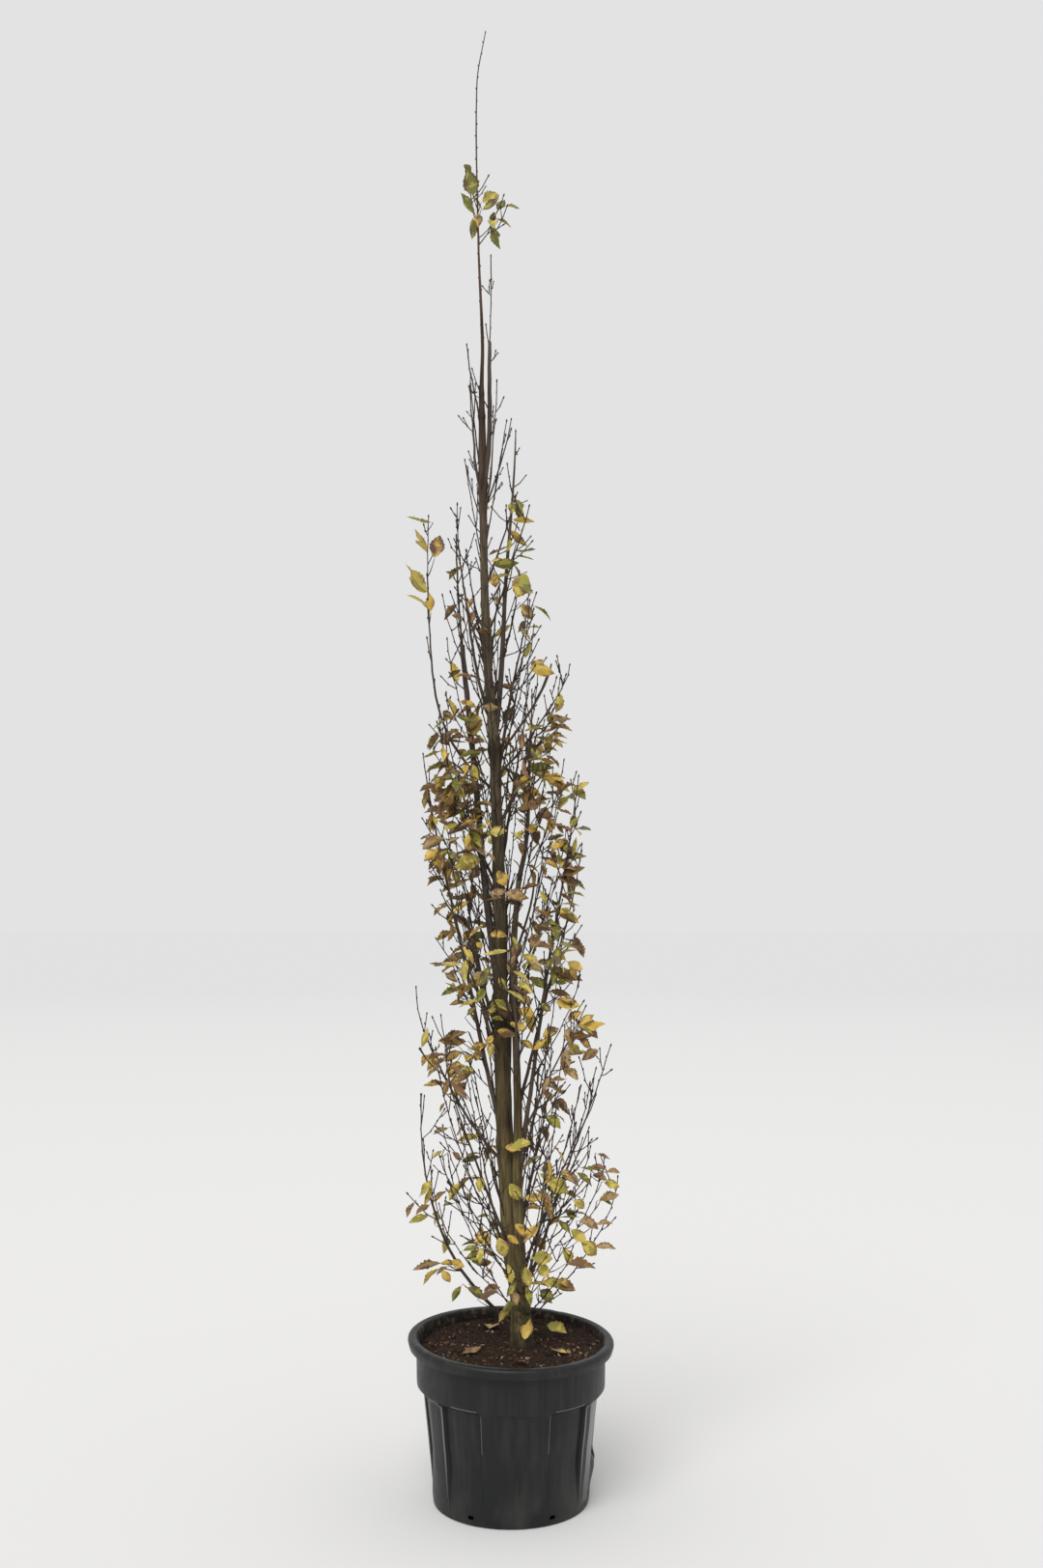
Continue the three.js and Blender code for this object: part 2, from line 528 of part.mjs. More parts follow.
function turned(rows) {
  const profile = rows.map(([radius, height]) => new THREE.Vector2(radius, height));
  const geometry = new THREE.LatheGeometry(profile, POT_SIDES);
  geometry.rotateX(Math.PI / 2);
  const position = geometry.attributes.position;
  for (let i = 0; i < position.count; i += 1) {
    const { panel = 0, buckle = 0, rough = 0, level = false } = rows[i % rows.length][2] ?? {};
    const [x, y, z] = [position.getX(i), position.getY(i), position.getZ(i)];
    const radius = Math.hypot(x, y);
    const around = Math.atan2(x, -y) / DEGREE;
    const inward = panel * PANEL_DEPTH * sunken(around) - buckle * buckled(around, z);
    const shrink = radius > 0 ? (radius - inward) / radius : 1;
    const fromTrunk = Math.hypot(x - TRUNK[0][1], y);
    const ease = Math.min(1, Math.max(0, (fromTrunk - TRUNK_FOOT_CLEARING) / TRUNK_FOOT_CLEARING));
    const waves = Math.sin(SOIL_WAVES.x * x + SOIL_WAVES.shift) * Math.cos(SOIL_WAVES.y * y);
    const bump = rough * ease * SOIL_ROUGHNESS * waves;
    const tilt = level ? 0 : ((y * RIM_TILT.front - x * RIM_TILT.side) * z) / POT_HEIGHT;
    position.setXYZ(i, x * shrink, y * shrink, z + bump + tilt);
  }
  return solidOf(geometry);
}

function potSolid() {
  const wall = (z, inset) => [wallRadius(z) - inset, z, { panel: panelShare(z), buckle: 1 }];
  const rimFoot = POT_HEIGHT - BEAD_HEIGHT;
  const body = turned([
    [0, 0],
    [POT_BASE_RADIUS - BASE_BEVEL, 0],
    [POT_BASE_RADIUS, BASE_BEVEL],
    ...BUCKLE.rows.map((z) => wall(z, 0)),
    wall(WALL_TOP, 0),
    [COLLAR_RADIUS, COLLAR_FOOT],
    [COLLAR_RADIUS, rimFoot],
    ...BEAD.map(([inset, height]) => [RIM_RADIUS - inset, rimFoot + height]),
    [COLLAR_RADIUS - POT_WALL + RIM_LIP, POT_HEIGHT],
    [COLLAR_RADIUS - POT_WALL, COLLAR_FOOT + POT_WALL],
    wall(WALL_TOP, POT_WALL),
    ...BUCKLE.rows.map((z) => wall(z, POT_WALL)).reverse(),
    [POT_BASE_RADIUS - POT_WALL, POT_FLOOR],
    [0, POT_FLOOR],
  ]);
  const around = evenly(FIRST_SLOT, FIRST_SLOT + 360, SLOTS).slice(0, SLOTS);
  return around.reduce((solid, angle) => {
    const slot = new THREE.BoxGeometry(...SLOT_SIZE)
      .translate(0, -wallRadius(SLOT_HEIGHT), SLOT_HEIGHT)
      .rotateZ(angle * DEGREE);
    return solid.subtract(solidOf(slot));
  }, body);
}

// Soil: fills the pot, clear of the panels
function soilSolid() {
  const inside = POT_WALL + GAP;
  return turned([
    [0, POT_FLOOR + GAP],
    [POT_BASE_RADIUS - inside - SOIL_FOOT_EASE, POT_FLOOR + GAP],
    [wallRadius(WALL_TOP) - inside - PANEL_DEPTH - SOIL_PANEL_EASE, WALL_TOP],
    [COLLAR_RADIUS - inside, COLLAR_FOOT + POT_WALL],
    [COLLAR_RADIUS - inside, SOIL_TOP, { rough: 1, level: true }],
    [SOIL_RINGS[0], SOIL_TOP, { rough: -1, level: true }],
    [SOIL_RINGS[1], SOIL_TOP - GAP, { rough: 1, level: true }],
    [0, SOIL_TOP - GAP, { level: true }],
  ]);
}

// Woody pieces, cut to what carries them. The cutting shapes are a gap larger all round
const trunkTube = (grow) => tube({
  at: trunk.at,
  radius: (t) => trunk.radius(t) + grow,
  rings: evenly(0, 1, TRUNK_STEPS),
  sides: TRUNK_SIDES,
  levelFoot: true,
});
const secondTube = (grow) => tube({
  at: (t) => secondStem.at(t).addScaledVector(UP, t * grow),
  radius: (t) => secondStem.radius(t) + grow,
  rings: evenly(0, 1, SECOND_STEPS),
  sides: SECOND_SIDES,
});
const trunkCut = trunkTube(GAP);
const secondCut = secondTube(GAP);
const secondSolid = mainPiece(secondTube(0).subtract(trunkCut));
const cutToHosts = (solid) => mainPiece(solid.subtract(trunkCut).subtract(secondCut));

function boughSolid({ at, radius, boughRings }) {
  return cutToHosts(tube({ at, radius, rings: boughRings, sides: BOUGH_SIDES }));
}

function massSolid(limb, index) {
  const twigs = [];
  for (let k = 0; k < limb.twigs; k += 1) {
    const twig = growTwig(limb, index, k);
    if (twig) twigs.push(twig);
  }
  const leaves = [];
  for (let k = 0; k < limb.leaves; k += 1) {
    const leaf = growLeaf(limb, index, twigs, leaves, k);
    if (leaf) leaves.push(leaf);
  }
  const [first, ...rest] = limb.massRings;
  const rings = [limb.bare > 0 ? first + GAP / limb.length : first, ...rest];
  const sides = limb.girth > THICK_LIMB ? THICK_SIDES : THIN_SIDES;
  const twigTube = ({ at, radius }) => tube({
    at, radius, rings: [0, TWIG_KNEE, 1], sides: THIN_SIDES, pointed: true,
  });
  const solid = fuse([
    tube({ at: limb.at, radius: limb.radius, rings, sides }),
    ...twigs.map(twigTube),
    ...leaves.map(leafSolid),
  ]);
  return limb.bare > 0 ? solid : cutToHosts(solid);
}

// The whole plant
const hornbeam = new THREE.Group();
hornbeam.name = 'hornbeam';

function addPiece(name, solid, finish) {
  const piece = new THREE.Mesh(geometryOf(solid), new THREE.MeshStandardMaterial(finish));
  piece.name = name;
  hornbeam.add(piece);
}

addPiece('pot', potSolid(), POT_PLASTIC);
addPiece('soil', soilSolid(), SOIL_MIX);
addPiece('trunk', trunkTube(0), BARK);
addPiece('second_stem', secondSolid, BARK);
for (const limb of limbs.filter(({ bare }) => bare > 0)) {
  addPiece(`bough_${limb.name}`, boughSolid(limb), BARK);
}
limbs.forEach((limb, index) => {
  addPiece(`mass_${limb.name}`, massSolid(limb, index), AUTUMN_LEAF);
});

export default hornbeam;
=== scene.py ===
"""European hornbeam in its nursery pot: the finished surfaces round the fixed frame.

The limbs, twigs and leaves grow by the rule of the solids, in millimetres, and go on to finer
twigs and buds within the same reach. Blender's own units are metres.
"""

import functools
import math

import bpy
import numpy as np
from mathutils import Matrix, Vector, noise


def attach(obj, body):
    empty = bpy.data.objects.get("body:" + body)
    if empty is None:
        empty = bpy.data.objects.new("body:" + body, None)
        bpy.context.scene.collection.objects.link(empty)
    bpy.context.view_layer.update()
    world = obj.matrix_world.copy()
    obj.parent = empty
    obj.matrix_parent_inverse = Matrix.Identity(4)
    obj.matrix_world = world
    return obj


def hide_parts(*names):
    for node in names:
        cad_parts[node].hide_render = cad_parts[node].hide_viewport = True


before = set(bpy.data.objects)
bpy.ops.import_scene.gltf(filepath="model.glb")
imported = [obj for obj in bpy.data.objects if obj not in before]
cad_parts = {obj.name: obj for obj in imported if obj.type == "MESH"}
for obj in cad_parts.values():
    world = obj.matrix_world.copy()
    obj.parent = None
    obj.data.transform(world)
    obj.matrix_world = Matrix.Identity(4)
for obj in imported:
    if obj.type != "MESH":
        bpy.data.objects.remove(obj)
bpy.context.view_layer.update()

bl_info = {
    "name": "Potted Hornbeam",
    "version": (1, 0, 0),
    "blender": (4, 5, 0),
    "location": "3D View > Sidebar > Hornbeam",
    "description": "A young European hornbeam in late autumn, standing in its nursery pot",
    "category": "Object",
}

MM = 0.001
UP = np.array([0.0, 0.0, 1.0])

# The photo's size in pixels, and the camera that was fitted to it: place, tilt in degrees, and lens
PHOTO = (1080, 1624)
CAMERA_PLACE = (28, -4186, 1584)
CAMERA_TILT = 4.08
LENS = 35.506
SENSOR = 36
FOCAL = LENS / SENSOR * PHOTO[1]

# Pot and soil, as in the solids
POT_HEIGHT = 419
POT_BASE_RADIUS = 204
RIM_RADIUS = 272
COLLAR_RADIUS = 248
COLLAR_FOOT = 300
WALL_TOP = 284
WALL_TOP_RADIUS = 234
BEAD_HEIGHT = 28
POT_WALL = 5
POT_FLOOR = 6
BASE_BEVEL = 7
RIM_TILT = {"side": 0.028, "front": 0.033}
PANEL_DEPTH = 12
PANEL_FOOT = 22
PANEL_RISE = 110
PANELS = [(-94, -63), (-49, -19), (26, 57), (72, 97), (127, 157), (-171, -141)]
BUCKLE = {"around": 90, "height": 98, "size": 14, "wide": 13, "below": 45, "above": 22}
PANEL_EDGE = 0.5
# Painted highlights: pale shiny faces along the panels' edges, on one rib and at the collar's foot stand in
# for light caught there
# On the front, up to this angle, the painted highlights along the panels' edges are drawn over this height
# only
HIGHLIT_FRONT = (40, 185)
# Painted reflection: the rib between these angles is painted pale all down
HIGHLIT_RIB = (62, 71)
# Painted highlight along the collar's foot, between these angles
HIGHLIT_COLLAR = [(-38, -20), (27, 49)]
# Section of the rim's bead: inset from the rim's outermost radius, and height over its foot
BEAD_SECTION = [(22, -1), (13, -1.5), (6.5, -1), (4.2, 1), (3.4, 4), (2.2, 8), (0.8, 13), (0, 17), (0.4, 21),
                (2.2, 24.5), (5.5, 27), (9.5, 28), (13, 27.6)]
RIM_KINK = 4
RIM_KINK_AT = (151, 2.0)
# A fold beside the buckle, and how uneven the wall is
FOLD = {"around": 84, "height": 122, "size": 4.0, "wide": 7, "tall": 9}
UNEVEN = 1.3
# Rings of the wall: from and to which height and how many, closest where it has buckled
WALL_RINGS = [(BASE_BEVEL, 60, 13), (64, 156, 40), (160, WALL_TOP - 4, 22)]
# Height and how far the collar stands out there
COLLAR_LEAN = [(306, 0), (320, 0.3), (340, 0.6), (360, 1), (376, 1.3), (POT_HEIGHT - BEAD_HEIGHT - 2, 1.6)]
# Inside the rim: how far out from the collar's inside, and how far under the rim's top
RIM_INSIDE = [(7, 1.5), (3, 3.5), (1, 9)]
COLLAR_INSIDE = (402, 394, 380, COLLAR_FOOT + POT_WALL)
WALL_INSIDE = (WALL_TOP, 250, 200, 160, 140, 120, 100, 80, 50, 25)
SLOTS = 6
SLOT_SIZE = (16, 16, 10)
SLOT_HEIGHT = 21
FIRST_SLOT = -29
SOIL_TOP = 396

# Trunk: height, sideways place and radius. Second stem: height, sideways place, depth and radius
TRUNK = [
    (396, 30, 27), (520, 24, 25.5), (650, 0, 22.5), (900, -14, 22), (1200, -26, 20),
    (1600, -33, 15.5), (2000, -47, 14), (2250, -67, 11.3), (2600, -77, 10.4), (2720, -79, 11.6),
    (2860, -81, 9.4), (3000, -82, 5.6), (3100, -80, 4.7), (3400, -92, 2.8), (3850, -97, 1.7),
    (4005, -73, 1.2),
]
# Which of the bark's tints holds at which height, and the dark bands at the knots
BARK_BANDS = [(390, "moss"), (440, "low"), (860, "low"), (980, "middle"), (1230, "middle"), (1600, "upper"),
              (2450, "upper"), (2750, "top"), (4000, "top")]
KNOT_BAND = (10, 11)
KNOT_SHADE = (0.80, 0.13)
ROOT_FLARE = 6
ROOT_FLARE_HEIGHT = 28
KNOTS = [(905, 2), (1255, 2.5), (1650, 2), (1975, 4.5), (2105, 3), (2300, 2)]
KNOT_LENGTH = 22
# Dark gnarls high on the trunk, finer than the solids: height and size
GNARLS = [(2900, 3), (2965, 2.2)]
GNARL_LENGTH = 9
SECOND_STEM = [
    (500, 32, -8, 14), (560, 31, -16, 15), (650, 23, -23, 15), (800, 17, -27, 14),
    (1000, 18, -28, 11), (1200, 13, -28, 9.5), (1450, 8, -24, 8.5), (1620, 20, -24, 6.5),
]

# Limbs: name, host, foot height, tip, girth, bow, bare share, twigs, leaves, reach, leafy heights
LIMBS = [
    ("low_left", "trunk", 428, (-243, 55, 1040), 4.6, 2, 0.28, 7, 22, 170, (480, 830)),
    ("low_right", "second", 522, (265, -25, 1180), 4.6, 0, 0.22, 8, 22, 190, (570, 880)),
    ("low_front", "second", 545, (118, -175, 1050), 4, 0.5, 0.25, 5, 12, 160, (560, 1000)),
    ("low_left_front", "trunk", 640, (-170, -140, 1200), 4, 0.4, 0.3, 5, 10, 150, (680, 1200)),
    ("low_left_back", "trunk", 510, (-125, 190, 1100), 3.6, 0.4, 0, 5, 11, 150, (560, 1000)),
    ("low_right_back", "trunk", 600, (110, 200, 1180), 4, 0.5, 0.3, 5, 11, 160, (600, 1100)),
    ("low_right_side", "second", 590, (215, 115, 1060), 3.6, 0.2, 0, 4, 8, 130, (640, 900)),
    ("left_long", "trunk", 860, (-258, 40, 1330), 4, 0.7, 0.3, 5, 16, 150, (1060, 1240)),
    ("left_main", "trunk", 910, (-238, -15, 1960), 6.2, 0.1, 0.3, 9, 34, 170, (1290, 2000)),
    ("right_main", "second", 850, (182, -20, 1900), 6.2, 0, 0.3, 9, 32, 160, (1300, 1900)),
    ("right_cluster", "second", 930, (195, -110, 1290), 3.6, 0, 0, 5, 19, 120, (1080, 1340)),
    ("right_back", "second", 1010, (195, 105, 1720), 4.6, 0.1, 0.3, 6, 15, 150, (1200, 1740)),
    ("front_mid", "second", 1090, (0, -210, 1560), 4.6, 0.3, 0.3, 5, 13, 150, (1180, 1600)),
    ("back_mid", "trunk", 980, (-20, 220, 1600), 5, 0.3, 0.3, 7, 15, 160, (1150, 1650)),
    ("left_front_mid", "trunk", 1120, (-160, -155, 1620), 4, 0.3, 0.3, 5, 11, 140, (1250, 1650)),
    ("left_back_mid", "trunk", 1180, (-160, 160, 1760), 4.4, 0.3, 0.3, 5, 12, 150, (1300, 1800)),
    ("left_upright", "trunk", 1290, (-152, 25, 2570), 10, 0.35, 0.76, 4, 3, 130, (2080, 2500)),
    ("right_upright", "second", 1619, (56, -52, 2130), 6.5, 1.5, 0, 6, 9, 130, (1650, 2100)),
    ("back_upright", "trunk", 1600, (45, 130, 2230), 4.6, 0.3, 0.3, 5, 11, 140, (1750, 2200)),
    ("left_cluster", "trunk", 1560, (-190, -105, 2080), 4, 0.5, 0.3, 6, 20, 130, (1730, 2080)),
    ("left_cluster_back", "trunk", 1600, (-180, 100, 2060), 4, 0.5, 0.3, 5, 14, 130, (1720, 2060)),
    ("right_upper", "trunk", 1900, (158, -40, 2200), 3.4, 0.4, 0, 5, 10, 130, (1960, 2150)),
    ("right_upper_back", "trunk", 1760, (135, 80, 2180), 3.6, 0.3, 0, 4, 9, 130, (1850, 2110)),
    ("far_left_shoot", "trunk", 1860, (-228, 10, 2620), 3.6, 4, 0, 2, 8, 70, (2340, 2640)),
    ("upper_right_thin", "trunk", 1870, (48, 65, 2420), 5, 0, 0.4, 5, 4, 120, (2000, 2400)),
    ("upper_right_main", "trunk", 1990, (12, -20, 2850), 8, 0.2, 0.35, 7, 13, 150, (2270, 2680)),
    ("upper_left", "trunk", 2030, (-150, 35, 2660), 4.6, 0.8, 0.35, 5, 3, 120, (2200, 2500)),
    ("upper_back", "trunk", 2080, (-85, 130, 2620), 4.4, 0.4, 0, 5, 4, 120, (2200, 2500)),
    ("upper_front", "trunk", 2120, (-62, -125, 2560), 4, 0.4, 0, 4, 4, 120, (2200, 2500)),
    ("top_right", "trunk", 2690, (-57, -8, 3350), 7.5, 3, 0.485, 2, 0, 60, (0, 0)),
    ("top_right_low", "trunk", 2630, (-40, -22, 2990), 3, 1, 0, 2, 0, 90, (0, 0)),
    ("top_left", "trunk", 2680, (-113, 8, 3020), 4, 1.5, 0, 3, 0, 110, (0, 0)),
    ("leaf_tuft_right", "trunk", 3385, (-22, -15, 3520), 1.7, 0.3, 0, 1, 5, 60, (3400, 3640)),
    ("leaf_tuft_left", "trunk", 3440, (-128, 10, 3600), 1.6, 0.3, 0, 1, 4, 50, (3440, 3660)),
    ("foot_shoot", "second", 515, (25, -105, 620), 2, 0.2, 0, 2, 7, 70, (450, 650)),
]
STRAY = "far_left_shoot"
# Limbs that were cut back: their taper, the share of their girth that grew on from the stub, and
# where the drawn stub ends
CUT_BACK = {"left_upright": (0.45, 0.4, 0.76), "top_right": (0.6, 0.35, 0.59)}
# The crown's outline: height, sideways middle and reach from there, on all sides
CROWN = [
    (450, 0, 230), (750, 15, 300), (950, 12, 262), (1150, 8, 258), (1400, -15, 212),
    (1650, -18, 225), (1850, -22, 235), (2000, -40, 215), (2200, -35, 180), (2500, -55, 140),
    (2800, -60, 95), (3000, -85, 75), (3300, -80, 50), (3500, -65, 85), (3700, -90, 60),
    (4005, -73, 30),
]

# The rule's own values, as in the solids
TIP_RADIUS = 1
LIMB_TAPER = 0.8
WAVE = 5
BOUGH_JOINTS = 3
MASS_JOINTS = 5
PLAIN_FOOT = 0.12
STEP = 0.004
TWIG_RADIUS = 1.9
TWIG_SHARE = 0.7
TWIG_TAPER = 0.5
TWIG_SPACING = (0.05, 0.9, 0.6)
TWIG_TURN = (137.5, 60)
TWIG_LEAN = (34, 22)
TWIG_LENGTH = (0.6, 0.4)
TWIG_SHORTENING = 0.45
TWIG_KNEE = 0.45
TWIG_LIFT = 0.4
TWIG_TRIES = 5
TRY_SHORTENING = 0.12
TWIG_CHECKS = (0.2, 0.35, 0.5, 0.65, 0.8, 0.9, 1)
TWIG_SEED = (97, 13, 1009)
LEAF_LENGTH = (50, 24)
LEAF_WIDTH_SHARE = 0.5
STALK = 8
LEAF_START = 0.25
LEAF_END = 0.93
STEM_LEAF_START = 0.05
STEM_WEIGHT = 1.5
LEAF_SPIN = 210
LEAF_DROOP = (20, -60)
LEAF_ROLL = 110
LEAF_TRIES = 18
LEAF_SPACING = 9
LEAF_CHECKS = np.array([(0.1, 0), (0.3, 0), (0.5, 0), (0.75, 0), (1, 0), (0.3, 0.7), (0.3, -0.7),
                        (0.5, 1), (0.5, -1), (0.75, 0.6), (0.75, -0.6)])
LEAF_SEED = (61, 29, 2003)
SPACE_MARGIN = 4
LIMB_MARGIN = 3
TWIG_MARGIN = 2
SOIL_MARGIN = 12
RIM_MARGIN = 25
SAMPLES = {"trunk": 60, "second": 20, "bough": 8, "mass": 12, "twig": 4}

# What grows on beyond the solids: finer twigs, thin shoots, more leaves and buds
INTERNODE = 34
ZIGZAG = 1.0
LIMB_ZIGZAG = 0.9
FINE_ZIGZAG = 0.4
FINEST = 1.3
SWAY = (0.6, 0.8)
HEADING_STEP = 0.04
FINE_MARGIN = 1.5
SIDE_TWIG_SEED = (71, 17, 1511)
# Finer twigs on a limb, a main twig, a thin shoot and on that shoot's own longer twigs: spacing,
# longest reach, radius and the share at which they start
SIDE_TWIGS = {"limb": (104, 170, 1.9, 0.15), "twig": (92, 90, 1.5, 0.25), "shoot": (128, 170, 1.8, 0.25),
              "side": (80, 60, 1.3, 0.35)}
LONG_SIDE_TWIG = 110
SIDE_END = 0.96
SIDE_JITTER = 0.8
SIDE_SWING = 1.5
SIDE_LEAN = (20, 36)
SIDE_LENGTH = (0.35, 0.85)
SIDE_LENGTH_POWER = 1.5
SIDE_SHORTENING = 0.55
SIDE_SHARE = 0.72
SIDE_CHECKS = (0.4, 0.7, 1.0)
SHOOT_SEED = (4409, 7919, 104729)
SHOOT_WAVE = 4
SHOOT_WAVES = 2.5
SHOOT_TURN = (137.5, 50)
SHOOT_GIRTH = (0.75, 0.4)
SHOOT_TAPER = 0.5
SHOOT_CHECKS = (0.5, 0.7, 0.85, 1.0)
SHOOT_CLEAR_CHECKS = (0.5, 0.75, 1.0)
SHOOT_MARGIN = 2
FACES_SECOND = 0.4
FACES_FRONT = -0.75
SECOND_END = 60
# Thin shoots that rise from the trunk and the second stem between the limbs: how many, between
# which foot heights, how far they rise, how far they reach as a share of the crown's reach, how
# early they spread, and their radius at the foot. A pair is the least and what chance adds
SHOOTS = [
    (20, (430, 240), (200, 260), (0.70, 0.28), (0.10, 0.70), 1.8),
    (13, (520, 380), (330, 380), (0.50, 0.46), (0.00, 0.50), 2.1),
    (5, (640, 520), (320, 380), (0.24, 0.34), (0.00, 0.40), 2.6),
    (22, (1020, 520), (280, 340), (0.46, 0.50), (0.00, 0.40), 2.2),
    (18, (1500, 560), (220, 300), (0.45, 0.53), (0.00, 0.40), 2.3),
    (12, (2050, 520), (170, 240), (0.45, 0.52), (0.00, 0.30), 2.6),
    (5, (2600, 280), (150, 200), (0.34, 0.50), (0.00, 0.30), 2.6),
]
# At the front of the trunk only this share of them grow
FRONT_SHARE = 0.45
THICK_LIMB = 4.2
# Limbs that were cut off and end in a blunt stub: foot height, tip and girth
STUBS = [(860, (0, 12, 1440), 6.0), (1190, (-115, -28, 1525), 5.0), (1760, (52, -34, 2000), 4.6),
         (1950, (110, 22, 2215), 3.6), (1330, (62, 30, 1610), 4.0), (2180, (-128, -20, 2420), 3.4)]
STUB_BOW = 1.4
STUB_TAPER = 0.35
STUB_SEED = 70
# Leaves on what grew on: how many between which heights
MORE_LEAVES = [(455, 700, 3), (1150, 1400, 12), (1400, 2000, 42), (2000, 2300, 3), (2300, 2720, 3)]
# Where they crowd: the middle of a cluster, its radius and how many hang there
CLUSTERS = [
    ((180, -60, 1235), 85, 6), ((-185, -40, 1890), 100, 22), ((-105, -50, 1720), 75, 10),
    ((80, -50, 1680), 75, 10), ((150, -20, 1500), 80, 9), ((80, -50, 1510), 70, 5),
    ((80, -40, 1830), 75, 13), ((-95, -50, 1850), 70, 9), ((-85, -40, 1980), 75, 10),
    ((-180, -20, 1990), 75, 8), ((-80, -30, 2120), 70, 6), ((165, -30, 1350), 75, 4),
    ((160, -20, 1690), 75, 8),
]
LEAF_APART = 16
SPRAY_SIZE = 4
SPRAY_DROOP = 0.75
SPRAY_ROLL = 124
SPRAY_BACK = 2.2
SPRAY_ALONG = (0.1, 0.5)
SPRAY_ASIDE = 0.9
SPRAY_OUT = (0.2, 0.7)
SPRAY_MARGIN = 5
TIP_OVER = 60
FURTHEST_RIGHT = 284
SPRAY_TRIES = 12
FRONT_CLEAR = 44
# Where the photo shows sky or bare trunk fewer of the rule's leaves hang. Each place: its left and
# right, its foot and top
OPEN = [
    (-320, -105, 0, 1000), (105, 320, 0, 1000), (40, 240, 970, 1130), (40, 125, 1280, 1440),
    (-230, -105, 1030, 1140), (-320, -105, 1430, 1610),
]
# How far back the places reach, how far from the trunk's middle a leaf is before the trunk, and the
# share of the leaves that stays, in the places and before the trunk
OPEN_DEPTH = 105
OPEN_FRONT = 36
OPEN_SHARE = (0.42, 0.15)
OPEN_SEED = 5
CLUSTER_SEED = 7000
CLUSTER_SHOOTS = 16
LEAF_LIFT = (0.85, 5, 42)
STRAY_PITCH = 40
SPRAY_LENGTH = 150
SPUR_RISE = (20, 70)


def seeded(seed):
    """Seeded numbers between 0 and 1."""
    state = int(seed) % 4294967296

    def draw():
        nonlocal state
        state = (1664525 * state + 1013904223) % 4294967296
        return state / 4294967296

    return draw


def seed_of(limb, seed, k):
    foot, tip, each = seed
    return limb.foot * foot + round(limb.tip[2]) * tip + k * each


def chance(draw, pair):
    return pair[0] + pair[1] * draw()


def unit(vector):
    return vector / np.linalg.norm(vector)


def turned(degrees):
    """The level direction at an angle from +X."""
    return np.array([math.cos(math.radians(degrees)), math.sin(math.radians(degrees)), 0.0])


def rolled(along, roll):
    """The direction across a blade that points along a direction and is rolled by an angle."""
    level = unit(np.cross(UP, along))
    return level * math.cos(roll) + np.cross(along, level) * math.sin(roll)


def blade_axes(heading, pitch, roll):
    along = np.array([math.cos(heading) * math.cos(pitch), math.sin(heading) * math.cos(pitch),
                      math.sin(pitch)])
    return along, rolled(along, roll)


def smoothstep(low, high, value):
    share = np.clip((value - low) / (high - low), 0, 1)
    return share * share * (3 - 2 * share)


def through(stations, height, column):
    """A value that runs smoothly between stations, whose first entry is their height."""
    last = len(stations) - 1
    i = 0
    while i < last - 1 and height > stations[i + 1][0]:
        i += 1

    def slope(k):
        before, after = stations[max(k - 1, 0)], stations[min(k + 1, last)]
        return (after[column] - before[column]) / (after[0] - before[0])

    start, end = stations[i], stations[i + 1]
    span = end[0] - start[0]
    u = (height - start[0]) / span
    return ((2 * u ** 3 - 3 * u ** 2 + 1) * start[column] + (u ** 3 - 2 * u ** 2 + u) * span * slope(i)
            + (3 * u ** 2 - 2 * u ** 3) * end[column] + (u ** 3 - u ** 2) * span * slope(i + 1))


class Stem:
    """The trunk or the second stem, as a path by height."""

    def __init__(self, stations, swell):
        self.stations, self.swell = stations, swell
        self.foot, self.tip = stations[0][0], stations[-1][0]
        self.width = len(stations[0]) - 1

    def place(self, z):
        depth = through(self.stations, z, 2) if self.width == 3 else 0.0
        return np.array([through(self.stations, z, 1), depth, z])

    def thickness(self, z):
        return through(self.stations, z, self.width) + self.swell(z)

    def at(self, t):
        return self.place(self.foot + (self.tip - self.foot) * t)

    def radius(self, t):
        return self.thickness(self.foot + (self.tip - self.foot) * t)


def trunk_swell(z):
    flare = ROOT_FLARE * math.exp(-(z - TRUNK[0][0]) / ROOT_FLARE_HEIGHT)
    return flare + sum(size * math.exp(-((z - height) / KNOT_LENGTH) ** 2) for height, size in KNOTS)


TRUNK_STEM = Stem(TRUNK, trunk_swell)
SECOND = Stem(SECOND_STEM, lambda z: 0)
HOSTS = {"trunk": TRUNK_STEM, "second": SECOND}


class Limb:
    """A limb's line: it leaves its host, bows up to its tip and runs straight between joints."""

    def __init__(self, row):
        (self.name, self.host, self.foot, self.tip, self.girth, self.bow, self.bare,
         self.twigs, self.leaves, self.reach, self.leafy) = row
        host = HOSTS[self.host]
        self.root = host.at((self.foot - host.foot) / (host.tip - host.foot))
        self.run = np.array(self.tip, float) - self.root
        self.length = float(np.linalg.norm(self.run))
        self.flat = math.hypot(self.run[0], self.run[1])
        self.joints = []
        if self.bare > 0:
            self.joints = [self.bare * i / BOUGH_JOINTS for i in range(BOUGH_JOINTS)]
        steps = MASS_JOINTS if self.bare > 0 else MASS_JOINTS + 1
        self.joints += [self.bare + (1 - self.bare) * i / steps for i in range(steps + 1)]

    def bend(self, t):
        away = 1 - (1 - t) ** (1 + self.bow) + WAVE * math.sin(3 * math.pi * t) / self.flat / 2
        aside = WAVE * math.sin(2 * math.pi * t) / self.flat
        x, y, z = self.run
        return self.root + np.array([x * away - y * aside, y * away + x * aside, z * t])

    def at(self, t):
        after = max(1, next((i for i, joint in enumerate(self.joints) if joint >= t), 0))
        start, end = self.joints[after - 1], self.joints[after]
        share = (t - start) / (end - start)
        return self.bend(start) * (1 - share) + self.bend(end) * share

    def radius(self, t):
        taper, regrown, _ = CUT_BACK.get(self.name, (LIMB_TAPER, 1, 1))
        return max(TIP_RADIUS, self.girth * (1 - taper * t) * (regrown if t > self.bare else 1))


